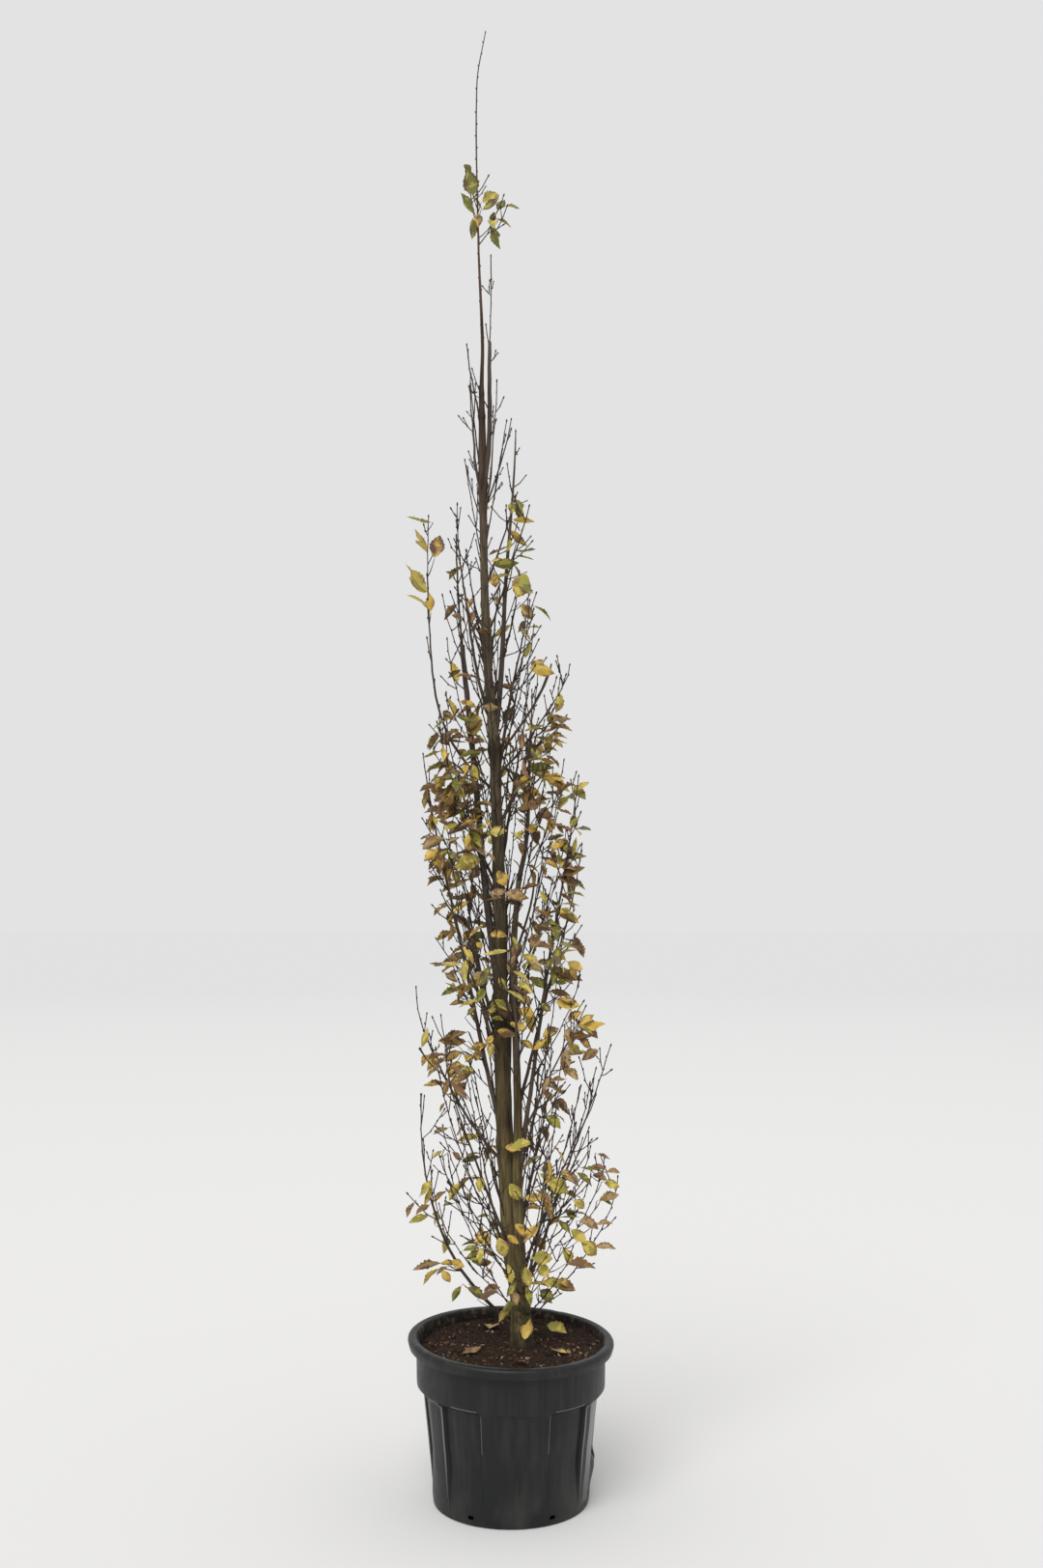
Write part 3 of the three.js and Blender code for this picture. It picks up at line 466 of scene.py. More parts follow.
class Twig:
    """A twig: straight to its knee, then lifted."""

    def __init__(self, root, first, length, thick):
        second = unit(first + UP * TWIG_LIFT)
        self.root, self.length, self.thick = root, length, thick
        self.knee = root + first * length * TWIG_KNEE
        self.tip = self.knee + second * length * (1 - TWIG_KNEE)

    def at(self, u):
        if u < TWIG_KNEE:
            return self.root + (self.knee - self.root) * (u / TWIG_KNEE)
        return self.knee + (self.tip - self.knee) * ((u - TWIG_KNEE) / (1 - TWIG_KNEE))

    def radius(self, u):
        return self.thick * (1 - TWIG_TAPER * u)


class Lines:
    """Straight pieces of many lines, to measure a point's clearance to each of them at once."""

    def __init__(self, lines):
        self.start = np.concatenate([places[:-1] for places, _ in lines])
        self.run = np.concatenate([places[1:] - places[:-1] for places, _ in lines])
        self.radii = np.concatenate([radii[:-1] for _, radii in lines])
        self.squared = np.einsum("ij,ij->i", self.run, self.run)
        counts = [len(places) - 1 for places, _ in lines]
        self.firsts = np.concatenate([[0], np.cumsum(counts)[:-1]])

    def clearances(self, point):
        away = point - self.start
        share = np.clip(np.einsum("ij,ij->i", away, self.run) / self.squared, 0, 1)
        away = away - share[:, None] * self.run
        gaps = np.sqrt(np.einsum("ij,ij->i", away, away)) - self.radii
        return np.minimum.reduceat(gaps, self.firsts)


def samples(path, start, end, count):
    shares = [start + (end - start) * i / count for i in range(count + 1)]
    return (np.array([path.at(t) for t in shares]), np.array([path.radius(t) for t in shares]))


LIMB_LIST = [Limb(row) for row in LIMBS]
STEM_SAMPLES = [samples(limb, limb.bare, 1, SAMPLES["mass"]) for limb in LIMB_LIST]
STEM_LINES = Lines(STEM_SAMPLES)
LIMB_LINES = Lines(
    [samples(TRUNK_STEM, 0, 1, SAMPLES["trunk"]), samples(SECOND, 0, 1, SAMPLES["second"])]
    + [samples(limb, 0, limb.bare, SAMPLES["bough"]) for limb in LIMB_LIST if limb.bare > 0]
)


def over_ground(point):
    """Whether a point is over the soil and, further out, clear of the rim."""
    over_pot = math.hypot(point[0], point[1]) > COLLAR_RADIUS - RIM_MARGIN
    return point[2] >= (POT_HEIGHT + RIM_MARGIN if over_pot else SOIL_TOP + SOIL_MARGIN)


def in_crown(point):
    """Whether a point is over the ground and inside the crown's outline."""
    if not over_ground(point):
        return False
    middle, reach = (through(CROWN, point[2], column) for column in (1, 2))
    return math.hypot(point[0] - middle, point[1]) <= reach


def clear(point):
    """Whether a point lies in the crown and off the stems and bare limbs."""
    return in_crown(point) and LIMB_LINES.clearances(point).min() > FINE_MARGIN


def belongs(index, point):
    """Whether a point is a mass's own: its stem is the nearest, and limbs, soil and pot are clear."""
    stray = LIMB_LIST[index].name == STRAY
    if not (over_ground(point) if stray else in_crown(point)):
        return False
    if LIMB_LINES.clearances(point).min() < LIMB_MARGIN:
        return False
    gaps = STEM_LINES.clearances(point)
    own = max(gaps[index], 0)
    gaps[index] = math.inf
    return gaps.min() > own + SPACE_MARGIN


def grow_twig(limb, index, k):
    """One of the mass's main twigs. It tries other sides until it keeps to its mass's space."""
    draw = seeded(seed_of(limb, TWIG_SEED, k))
    start = max(limb.bare, PLAIN_FOOT)
    first_share, spread, jitter = TWIG_SPACING
    share = first_share + spread * (k + jitter * draw()) / limb.twigs
    t = start + (1 - start) * share
    root = limb.at(t)
    along = unit(limb.at(min(t + STEP, 1)) - limb.at(t - STEP))
    turn = TWIG_TURN[0] * k + TWIG_TURN[1] * draw()
    lean = math.radians(chance(draw, TWIG_LEAN))
    full = limb.reach * chance(draw, TWIG_LENGTH) * (1 - TWIG_SHORTENING * share)
    thick = min(TWIG_RADIUS, TWIG_SHARE * limb.radius(t))
    for go in range(TWIG_TRIES):
        out = turned(turn + 360 * go / TWIG_TRIES)
        out = unit(out - along * out.dot(along))
        first = along * math.cos(lean) + out * math.sin(lean)
        twig = Twig(root, first, full * (1 - TRY_SHORTENING * go), thick)
        if all(belongs(index, twig.at(u)) for u in TWIG_CHECKS):
            twig.share = t
            return twig
    return None


def grow_leaf(limb, index, bearers, clear_of, placed, k):
    """A leaf that hangs outward from a twig or from the stem, its blade rolled a little."""
    draw = seeded(seed_of(limb, LEAF_SEED, k))
    for _ in range(LEAF_TRIES):
        pick = math.floor(draw() * (len(bearers) + STEM_WEIGHT))
        on_twig = pick < len(bearers)
        bearer = bearers[pick] if on_twig else limb
        start = LEAF_START if on_twig else max(limb.bare, PLAIN_FOOT) + STEM_LEAF_START
        share = start + (LEAF_END - start) * draw()
        root = bearer.at(share)
        spin = (draw() - 0.5) * LEAF_SPIN
        droop = math.radians(chance(draw, LEAF_DROOP))
        length = chance(draw, LEAF_LENGTH)
        roll = math.radians((draw() - 0.5) * LEAF_ROLL)
        trunk_x = through(TRUNK, min(root[2], TRUNK_STEM.tip), 1)
        heading = math.atan2(root[1], root[0] - trunk_x) + math.radians(spin)
        along, across = blade_axes(heading, droop, roll)
        reach = STALK + length * LEAF_CHECKS[:, :1]
        spots = root + along * reach + across * (LEAF_CHECKS[:, 1:] * length * LEAF_WIDTH_SHARE / 2)
        if not limb.leafy[0] < root[2] < limb.leafy[1]:
            continue
        if LIMB_LINES.clearances(root).min() <= LIMB_MARGIN:
            continue
        if placed and np.linalg.norm(
                np.concatenate(placed)[:, None] - spots[None], axis=2).min() <= LEAF_SPACING:
            continue
        if any(clear_of.clearances(spot).min() <= TWIG_MARGIN for spot in spots):
            continue
        if all(belongs(index, spot) for spot in spots):
            placed.append(spots)
            return Leaf(bearer, share, root, along, across, length)
    return None


class Leaf:
    def __init__(self, bearer, share, root, along, across, length):
        self.bearer, self.share, self.root = bearer, share, root
        self.along, self.across, self.length = along, across, length
        self.middle = root + along * (STALK + length / 2)
        self.stray = False


class Shoot:
    """What is drawn of a limb or twig: its bends from bud to bud, its thickness and its buds."""

    def __init__(self, path, length, radii, draw, zigzag=ZIGZAG):
        steps = max(2, round(length / INTERNODE))
        self.length = length
        self.shares = np.linspace(0, 1, steps + 1)
        points = np.array([path(u) for u in self.shares])
        along = unit(points[-1] - points[0])
        out = turned(360 * draw())
        self.side = unit(out - along * out.dot(along))
        sway = np.array([0.0] + [zigzag * chance(draw, SWAY) for _ in range(steps - 1)] + [0.0])
        sway[1::2] *= -1
        self.points = points + sway[:, None] * self.side
        self.radii = np.array([max(FINEST, radii(u)) for u in self.shares])
        self.draw = draw

    def place(self, share):
        return np.array([np.interp(share, self.shares, self.points[:, i]) for i in range(3)])

    def heading(self, share):
        before, after = self.place(share - HEADING_STEP), self.place(share + HEADING_STEP)
        return unit(after - before)

    def thickness(self, share):
        return float(np.interp(share, self.shares, self.radii))


def tapered(girth, taper):
    """A radius that grows less from the foot to the tip."""
    return lambda share: girth * (1 - taper * share)


def rounded(twig):
    """A curve from a twig's root to its tip that rounds its knee."""
    middle = 2 * twig.knee - (twig.root + twig.tip) / 2
    return lambda u: ((1 - u) ** 2 * twig.root + 2 * u * (1 - u) * middle + u ** 2 * twig.tip)


def side_twigs(parent, kind, seed, fits):
    """Finer twigs along a shoot, to both sides by turns, shorter towards its tip."""
    spacing, reach, thick, first_share = SIDE_TWIGS[kind]
    draw = seeded(seed)
    count = max(1, round(parent.length / spacing))
    grown = []
    for k in range(count):
        share = first_share + (SIDE_END - first_share) * (k + SIDE_JITTER * draw()) / count
        root, along = parent.place(share), parent.heading(share)
        side = parent.side * (1 if k % 2 else -1)
        side = unit(side + SIDE_SWING * (draw() - 0.5) * np.cross(along, parent.side))
        lean = math.radians(chance(draw, SIDE_LEAN))
        length = reach * (SIDE_LENGTH[0] + SIDE_LENGTH[1] * draw() ** SIDE_LENGTH_POWER)
        length *= 1 - SIDE_SHORTENING * share
        size = min(thick, SIDE_SHARE * parent.thickness(share))
        twig = Twig(root, along * math.cos(lean) + side * math.sin(lean), length, size)
        twig.share = share
        if all(fits(twig.at(u)) for u in SIDE_CHECKS):
            grown.append(twig)
    return grown


def thin_shoot(k, count, feet, rise, reach, bow, seed):
    """The path of a thin shoot that rises from the trunk or the second stem."""
    draw = seeded(seed)
    foot = feet[0] + feet[1] * (k + draw()) / count
    heading = turned(SHOOT_TURN[0] * k + SHOOT_TURN[1] * draw())
    top = foot + chance(draw, rise)
    out = through(CROWN, top, 2) * chance(draw, reach)
    spread = 1 + chance(draw, bow)
    wave, turn = SHOOT_WAVE * (draw() - 0.5), 2 * math.pi * draw()
    second = heading[0] - heading[1] > FACES_SECOND and SECOND.foot < foot < SECOND.tip - SECOND_END
    root = (SECOND if second else TRUNK_STEM).place(foot)
    tip = np.array([through(CROWN, top, 1), 0, top]) + heading * out
    run = tip - root
    aside = np.array([-heading[1], heading[0], 0])

    def at(t):
        away = 1 - (1 - t) ** spread
        sway = wave * math.sin(SHOOT_WAVES * math.pi * t + turn) * min(1, 4 * t)
        return root + np.array([run[0] * away, run[1] * away, run[2] * t]) + aside * sway

    if heading[1] < FACES_FRONT and draw() > FRONT_SHARE:
        return None
    if not all(in_crown(at(t)) for t in SHOOT_CHECKS):
        return None
    if any(LIMB_LINES.clearances(at(t)).min() < SHOOT_MARGIN for t in SHOOT_CLEAR_CHECKS):
        return None
    return at, float(np.linalg.norm(run)), draw


def more_leaves(bearers, leaves):
    """Small sprays of leaves at the ends of the finer twigs, to both sides by turns."""
    middles = [leaf.middle for leaf in leaves]
    grown = []
    for low, high, count in MORE_LEAVES:
        near = [shoot for shoot in bearers if low < shoot.points[-1][2] < high + TIP_OVER]
        hang_sprays(near, functools.partial(at_height, low, high), low, count, middles, grown)
    for row, (middle, radius, count) in enumerate(CLUSTERS):
        away = functools.partial(distance, middle)
        near = sorted(bearers, key=lambda shoot: min(away(root) for root in shoot.points[1:]))
        within = functools.partial(in_cluster, middle, radius)
        hang_sprays(near[:CLUSTER_SHOOTS], within, CLUSTER_SEED + row, count, middles, grown)
    return grown


def distance(middle, root):
    return np.linalg.norm(root - middle)


def in_cluster(middle, radius, root):
    return distance(middle, root) < radius


def at_height(low, high, root):
    return low < root[2] < high


def hang_sprays(bearers, fits, seed, count, middles, grown):
    """Hangs a number of leaves in sprays on these bearers, where their stalks fit and there is room."""
    wanted = len(grown) + count
    for spray in range(SPRAY_TRIES * count):
        draw = seeded(LEAF_SEED[2] * spray + seed)
        shoot = bearers[math.floor(draw() * len(bearers))]
        spots = [i for i in range(1, len(shoot.points)) if fits(shoot.points[i])]
        if not spots:
            continue
        last = spots[max(0, len(spots) - 1 - math.floor(SPRAY_BACK * draw()))]
        size = 1 + math.floor(SPRAY_SIZE * draw())
        for i in range(max(1, last - size + 1), last + 1):
            root = shoot.points[i]
            twig, side = shoot.heading(shoot.shares[i]), shoot.side * (1 if i % 2 else -1)
            out = unit(np.array([root[0] - through(TRUNK, root[2], 1), root[1], 0]))
            along = twig * chance(draw, SPRAY_ALONG) + side * SPRAY_ASIDE
            along = along + out * chance(draw, SPRAY_OUT)
            along = unit(along - UP * SPRAY_DROOP * draw())
            long = chance(draw, LEAF_LENGTH)
            middle, tip = root + along * (STALK + long / 2), root + along * (STALK + long)
            off = middle[0] - through(TRUNK, middle[2], 1)
            if not (fits(root) and in_crown(middle) and in_crown(tip)) or len(grown) == wanted:
                continue
            if any(LIMB_LINES.clearances(spot).min() < SPRAY_MARGIN for spot in (middle, tip)):
                continue
            if tip[0] > FURTHEST_RIGHT or middle[1] < 0 and abs(off) < FRONT_CLEAR:
                continue
            if np.linalg.norm(np.array(middles) - middle, axis=1).min() < LEAF_APART:
                continue
            across = rolled(along, math.radians((draw() - 0.5) * SPRAY_ROLL))
            leaf = Leaf(shoot, shoot.shares[i], root, along, across, long)
            leaf.shoot, leaf.seed = shoot, LEAF_SEED[0] * spray + seed + 5 * i
            leaf.spray = seed + spray
            middles.append(middle)
            grown.append(leaf)


def stays(leaf):
    """Whether a leaf of the rule is drawn: only some in open places or before the trunk."""
    middle = leaf.middle
    off = abs(middle[0] - through(TRUNK, min(middle[2], TRUNK_STEM.tip), 1))
    in_open = middle[1] < OPEN_DEPTH and any(
        left < middle[0] < right and foot < middle[2] < top for left, right, foot, top in OPEN)
    before = middle[1] < 0 and off < OPEN_FRONT
    return not (in_open or before) or seeded(leaf.seed + OPEN_SEED)() < OPEN_SHARE[int(before)]


@functools.lru_cache(maxsize=None)
def crown():
    """All the shoots, twigs and leaves of the crown."""
    limbs, mains, fines, leaves, light = [], [], [], [], []

    def side_shoots(parent, kind, seed, fits):
        grown = []
        for k, twig in enumerate(side_twigs(parent, kind, seed, fits)):
            twig.shoot = Shoot(rounded(twig), twig.length, twig.radius, seeded(seed + 200 + 7 * k),
                               zigzag=FINE_ZIGZAG)
            twig.shoot.points[0] = twig.root
            grown.append(twig)
            fines.append(twig.shoot)
        return grown

    for index, limb in enumerate(LIMB_LIST):
        draw = seeded(seed_of(limb, SIDE_TWIG_SEED, 0))
        limb.shoot = Shoot(limb.bend, limb.length, limb.radius, draw, zigzag=LIMB_ZIGZAG)
        limbs.append(limb.shoot)
        fits = functools.partial(belongs, index) if limb.name == STRAY else clear
        twigs = [twig for k in range(limb.twigs) if (twig := grow_twig(limb, index, k))]
        for k, twig in enumerate(twigs):
            draw = seeded(seed_of(limb, SIDE_TWIG_SEED, k + 1))
            twig.shoot = Shoot(rounded(twig), twig.length, twig.radius, draw)
            twig.shoot.points[0] = limb.shoot.place(twig.share)
            mains.append(twig.shoot)
            light.append(twig.shoot)
        small = side_shoots(limb.shoot, "limb", seed_of(limb, SIDE_TWIG_SEED, 50), fits)
        for k, twig in enumerate(twigs):
            small += side_shoots(twig.shoot, "twig", seed_of(limb, SIDE_TWIG_SEED, 60 + k), fits)
        light += [twig.shoot for twig in small if limb.name != STRAY]
        stem = STEM_SAMPLES[index]
        clear_of = Lines([stem] + [samples(twig, 0, 1, SAMPLES["twig"]) for twig in twigs])
        placed = []
        for k in range(limb.leaves):
            leaf = grow_leaf(limb, index, twigs, clear_of, placed, k)
            if leaf:
                leaf.shoot, leaf.seed = leaf.bearer.shoot, seed_of(limb, LEAF_SEED, 7 * k + 3)
                leaf.spray = limb.foot * 7 + round(leaf.root[2] / SPRAY_LENGTH) % 7
                leaf.stray = limb.name == STRAY
                if stays(leaf):
                    leaves.append(leaf)
    for row, (count, feet, rise, reach, bow, thick) in enumerate(SHOOTS):
        for k in range(count):
            seed = SHOOT_SEED[0] + SHOOT_SEED[1] * k + SHOOT_SEED[2] * row
            grown = thin_shoot(k, count, feet, rise, reach, bow, seed)
            if grown is None:
                continue
            at, length, draw = grown
            girth = thick * chance(draw, SHOOT_GIRTH)
            shoot = Shoot(at, length, tapered(girth, SHOOT_TAPER), draw)
            mains.append(shoot)
            small = side_shoots(shoot, "shoot", seed + 31, clear)
            light += [shoot] + [twig.shoot for twig in small]
            for j, twig in enumerate(small):
                if twig.length > LONG_SIDE_TWIG:
                    side_shoots(twig.shoot, "side", seed + 53 * j, clear)
    leaves += more_leaves(light, leaves)
    return {"limbs": limbs, "mains": mains, "fines": fines, "leaves": leaves}


def link(thing):
    bpy.context.scene.collection.objects.link(thing)


def add_object(name, points, faces):
    """A new object in the scene with a mesh of these points and faces."""
    mesh = bpy.data.meshes.new(name)
    mesh.from_pydata(points, [], faces)
    thing = bpy.data.objects.new(name, mesh)
    link(thing)
    return thing


class Build:
    """Collects the points and faces of one piece, in millimetres."""

    def __init__(self):
        self.points, self.faces, self.finishes, self.count = [], [], [], 0

    def add(self, points, faces, finish=0):
        self.points.append(np.asarray(points, float))
        self.faces += [[i + self.count for i in face] for face in faces]
        self.finishes += finish if isinstance(finish, list) else [finish] * len(faces)
        self.count += len(points)

    def piece(self, name, materials, slot, replaced=(), smooth=True):
        piece = add_object(name, np.concatenate(self.points) * MM, self.faces)
        mesh = piece.data
        for material in materials:
            mesh.materials.append(material)
        mesh.polygons.foreach_set("material_index", self.finishes)
        mesh.polygons.foreach_set("use_smooth", [smooth] * len(self.faces))
        mesh.update()
        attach(piece, "root")
        if replaced:
            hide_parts(*replaced)
        return piece


def ring_faces(rings, sides, closed=True):
    """The four-sided faces between rings of a tube."""
    faces = []
    for i in range(rings - 1):
        low, high = i * sides, (i + 1) * sides
        for j in range(sides if closed else sides - 1):
            after = (j + 1) % sides
            faces.append([low + j, low + after, high + after, high + j])
    return faces


def tube(points, radii, sides, tip=True):
    """A tube along points, closed at its foot, and drawn to a point or closed at its tip."""
    along = np.gradient(points, axis=0)
    along /= np.linalg.norm(along, axis=1)[:, None]
    whole = unit(points[-1] - points[0])
    ref = np.array([1.0, 0, 0]) if abs(whole[0]) < 0.7 else np.array([0, 1.0, 0])
    across = ref - along * (along @ ref)[:, None]
    across /= np.linalg.norm(across, axis=1)[:, None]
    beside = np.cross(along, across)
    angles = np.arange(sides) * 2 * math.pi / sides
    rings = (points[:, None] + radii[:, None, None] * (
        np.cos(angles)[None, :, None] * across[:, None]
        + np.sin(angles)[None, :, None] * beside[:, None]))
    vertices = rings.reshape(-1, 3)
    faces = ring_faces(len(points), sides) + [list(range(sides))[::-1]]
    last = (len(points) - 1) * sides
    if tip:
        vertices = np.vstack([vertices, points[-1] + along[-1] * radii[-1] * 1.2])
        faces += [[last + j, last + (j + 1) % sides, len(vertices) - 1] for j in range(sides)]
    else:
        faces.append([last + j for j in range(sides)])
    return vertices, faces


def noisy(place, scale, seed=0.0):
    return noise.noise(Vector((place[0] * scale, place[1] * scale, place[2] * scale + seed)))


# Finishes

class Finish:
    """A new material with plain values on its shader's own sockets, and a short way to add nodes."""

    def __init__(self, name, colour, roughness, specular=0.5):
        self.material = bpy.data.materials.new(name)
        self.material.use_nodes = True
        self.tree = self.material.node_tree
        self.main = self.tree.nodes["Principled BSDF"]
        self.main.inputs["Base Color"].default_value = (*colour[:3], 1)
        self.main.inputs["Roughness"].default_value = roughness
        self.main.inputs["Specular IOR Level"].default_value = specular
        self.place = self.new("ShaderNodeTexCoord").outputs["Object"]

    def new(self, kind, **values):
        node = self.tree.nodes.new(kind)
        for name, value in values.items():
            setattr(node, name, value)
        return node

    def join(self, output, node, socket):
        self.tree.links.new(output, node.inputs[socket])

    def put(self, value, node, socket):
        """Joins an output to a socket, or sets a plain value on it."""
        if isinstance(value, bpy.types.NodeSocket):
            self.join(value, node, socket)
        else:
            node.inputs[socket].default_value = value

    def stretched(self, scale):
        node = self.new("ShaderNodeMapping")
        node.inputs["Scale"].default_value = scale
        self.join(self.place, node, "Vector")
        return node.outputs["Vector"]

    def noise(self, scale, detail=4.0, roughness=0.5, stretch=(1, 1, 1)):
        node = self.new("ShaderNodeTexNoise")
        node.inputs["Scale"].default_value = scale
        node.inputs["Detail"].default_value = detail
        node.inputs["Roughness"].default_value = roughness
        self.join(self.stretched(stretch), node, "Vector")
        return node.outputs["Fac"]

    def ramp(self, value, stops):
        node = self.new("ShaderNodeValToRGB")
        ramp = node.color_ramp
        while len(ramp.elements) < len(stops):
            ramp.elements.new(0.5)
        for element, (position, colour) in zip(ramp.elements, stops):
            element.position = position
            element.color = (*colour[:3], 1)
        self.join(value, node, "Fac")
        return node.outputs["Color"]

    def mix(self, share, first, second, blend="MIX"):
        node = self.new("ShaderNodeMix", data_type="RGBA", blend_type=blend)
        for value, socket in ((share, 0), (first, 6), (second, 7)):
            self.put(value, node, socket)
        return node.outputs[2]

    def ranged(self, value, low, high, kind="LINEAR"):
        node = self.new("ShaderNodeMapRange", interpolation_type=kind)
        node.inputs["From Min"].default_value = low
        node.inputs["From Max"].default_value = high
        self.join(value, node, "Value")
        return node.outputs["Result"]

    def height(self, low, high, kind="SMOOTHSTEP"):
        """0 below one height of the object and 1 above another, in metres."""
        split = self.new("ShaderNodeSeparateXYZ")
        self.join(self.place, split, "Vector")
        return self.ranged(split.outputs["Z"], low, high, kind)

    def distance(self, low, high):
        """0 at one distance from the object's middle and 1 at another, in metres."""
        length = self.new("ShaderNodeVectorMath", operation="LENGTH")
        self.join(self.place, length, 0)
        return self.ranged(length.outputs["Value"], low, high)

    def math(self, operation, first, second):
        node = self.new("ShaderNodeMath", operation=operation)
        for socket, value in enumerate((first, second)):
            self.put(value, node, socket)
        return node.outputs[0]

    def paint(self, value):
        self.join(value, self.main, "Base Color")

    def bump(self, value, strength, distance):
        node = self.new("ShaderNodeBump")
        node.inputs["Strength"].default_value = strength
        node.inputs["Distance"].default_value = distance
        self.join(value, node, "Height")
        self.join(node.outputs["Normal"], self.main, "Normal")


def dusty(colour, share, dust=(0.16, 0.155, 0.14)):
    return tuple(c * (1 - share) + d * share for c, d in zip(colour, dust))


def pot_plastic(settings):
    """Black moulded plastic: satin, finely grained, with a film of dust low on the wall."""
    nodes = Finish("pot_plastic", settings.colour, settings.roughness, 0.28)
    clouds = nodes.noise(9, 6, 0.6, (1, 1, 0.6))
    streaks = nodes.noise(60, 3, 0.5, (1, 1, 0.06))
    film = nodes.ramp(nodes.math("MULTIPLY", clouds, streaks),
                      [(0.2, settings.colour), (0.42, dusty(settings.colour, 0.08))])
    low = nodes.ramp(clouds, [(0.42, settings.colour), (0.75, dusty(settings.colour, 0.22))])
    nodes.paint(nodes.mix(nodes.height(0.02, 0.12), low, film))
    grain = nodes.ramp(nodes.noise(35, 8, 0.65), [(0.3, (0.36,) * 3), (0.7, (0.52,) * 3)])
    nodes.join(grain, nodes.main, "Roughness")
    nodes.bump(nodes.noise(420, 2, 0.5), 0.12, 0.0006)
    return nodes.material


def pot_edge_highlights(settings):
    """Painted highlight: the same plastic along the panels' edges, painted pale and shiny in patches where
    light catches them, less so towards the foot.
    """
    nodes = Finish("pot_edge_highlights", settings.edge, 0.32, 0.6)
    patches = nodes.noise(40, 4, 0.6, (1, 1, 0.2))
    highlight = nodes.ramp(patches, [(0.35, dusty(settings.edge, 0.1)), (0.65, settings.edge)])
    nodes.paint(nodes.mix(nodes.height(0.0, 0.21), (*settings.colour, 1), highlight))
    return nodes.material


def pot_inside(settings):
    """The inside of the rim, crusted with growing mix and green with algae."""
    nodes = Finish("pot_inside", settings.soil, 0.85, 0.3)
    crust = nodes.ramp(nodes.noise(48, 8, 0.7), [(0.36, settings.colour), (0.5, settings.soil),
                                                 (0.66, settings.algae)])
    nodes.paint(crust)
    nodes.bump(nodes.noise(160, 6, 0.7), 0.6, 0.002)
    return nodes.material


def growing_mix(name, colour, other):
    """Damp growing mix or bark chips."""
    nodes = Finish(name, colour, 0.92, 0.25)
    clods = nodes.noise(110, 8, 0.75)
    nodes.paint(nodes.ramp(clods, [(0.38, colour), (0.66, other)]))
    nodes.bump(nodes.noise(300, 6, 0.75), 0.9, 0.003)
    return nodes.material


def bark(name, dark, light):
    """Smooth dark bark of limbs and twigs, with upright streaks and paler patches."""
    nodes = Finish(name, light, 0.8, 0.3)
    streaks = nodes.noise(120, 5, 0.6, (1, 1, 0.09))
    patches = nodes.noise(16, 5, 0.6, (1, 1, 0.35))
    colour = nodes.ramp(streaks, [(0.3, dark), (0.62, light)])
    pale = nodes.ramp(patches, [(0.45, (0, 0, 0)), (0.7, (1, 1, 1))])
    paler = tuple(min(1, c * 1.5) for c in light[:3])
    colour = nodes.mix(nodes.math("MULTIPLY", pale, 0.5), colour, (*paler, 1))
    nodes.paint(colour)
    nodes.bump(nodes.noise(210, 5, 0.65, (1, 1, 0.12)), 0.5, 0.0012)
    return nodes.material


def trunk_bark(settings):
    """The trunk's bark: tints that change with height, upright streaks, dark knots, a mossy foot."""
    nodes = Finish("trunk_bark", settings.middle, 0.85, 0.3)
    level = nodes.height(0, TRUNK[-1][0] * MM, "LINEAR")
    colour = nodes.ramp(level, [(z / TRUNK[-1][0], getattr(settings, name)) for z, name in BARK_BANDS])
    rings = [(0, 1)]
    for z, size in KNOTS + GNARLS:
        band, dark = KNOT_BAND[0] + KNOT_BAND[1] * size, KNOT_SHADE[0] - KNOT_SHADE[1] * size
        rings += [(z - band, 1), (z, dark), (z + band * 0.6, 1)]
    knots = nodes.ramp(level, [(z / TRUNK[-1][0], (shade,) * 3) for z, shade in rings])
    streaks = nodes.ramp(nodes.noise(150, 6, 0.65, (1, 1, 0.07)), [(0.34, (0.24,) * 3), (0.64, (1,) * 3)])
    patches = nodes.ramp(nodes.noise(30, 6, 0.65, (1, 1, 0.25)), [(0.36, (0.55,) * 3), (0.6, (1,) * 3)])
    for shade in (streaks, patches, knots):
        colour = nodes.mix(1.0, colour, shade, "MULTIPLY")
    moss = nodes.ramp(nodes.noise(44, 6, 0.65), [(0.42, (0, 0, 0)), (0.58, (1, 1, 1))])
    reach = nodes.math("SUBTRACT", 1.0, nodes.height(0.43, 0.75))
    colour = nodes.mix(nodes.math("MULTIPLY", moss, reach), colour, (*settings.moss, 1))
    nodes.paint(colour)
    nodes.bump(nodes.noise(190, 6, 0.7, (1, 1, 0.1)), 0.8, 0.0018)
    return nodes.material


def leaf_finish(name, colour):
    """A thin matt leaf of one tint, its blade finely wrinkled."""
    nodes = Finish(name, colour, 0.55, 0.35)
    nodes.bump(nodes.noise(700, 3, 0.6), 0.25, 0.0006)
    return nodes.material


# Settings that a user would change

def tint(name, colour, words):
    return bpy.props.FloatVectorProperty(
        name=name, description=words, default=colour, size=3, min=0, max=1, subtype="COLOR")


def length(name, size, words, low=0.0, high=10.0):
    return bpy.props.FloatProperty(
        name=name, description=words, default=size, min=low, max=high, unit="LENGTH")


def share(name, value, words, high=1.0):
    return bpy.props.FloatProperty(
        name=name, description=words, default=value, min=0, max=high, subtype="FACTOR")


def angle(name, degrees, words, high):
    return bpy.props.FloatProperty(
        name=name, description=words, default=math.radians(degrees), min=0, max=high, subtype="ANGLE")


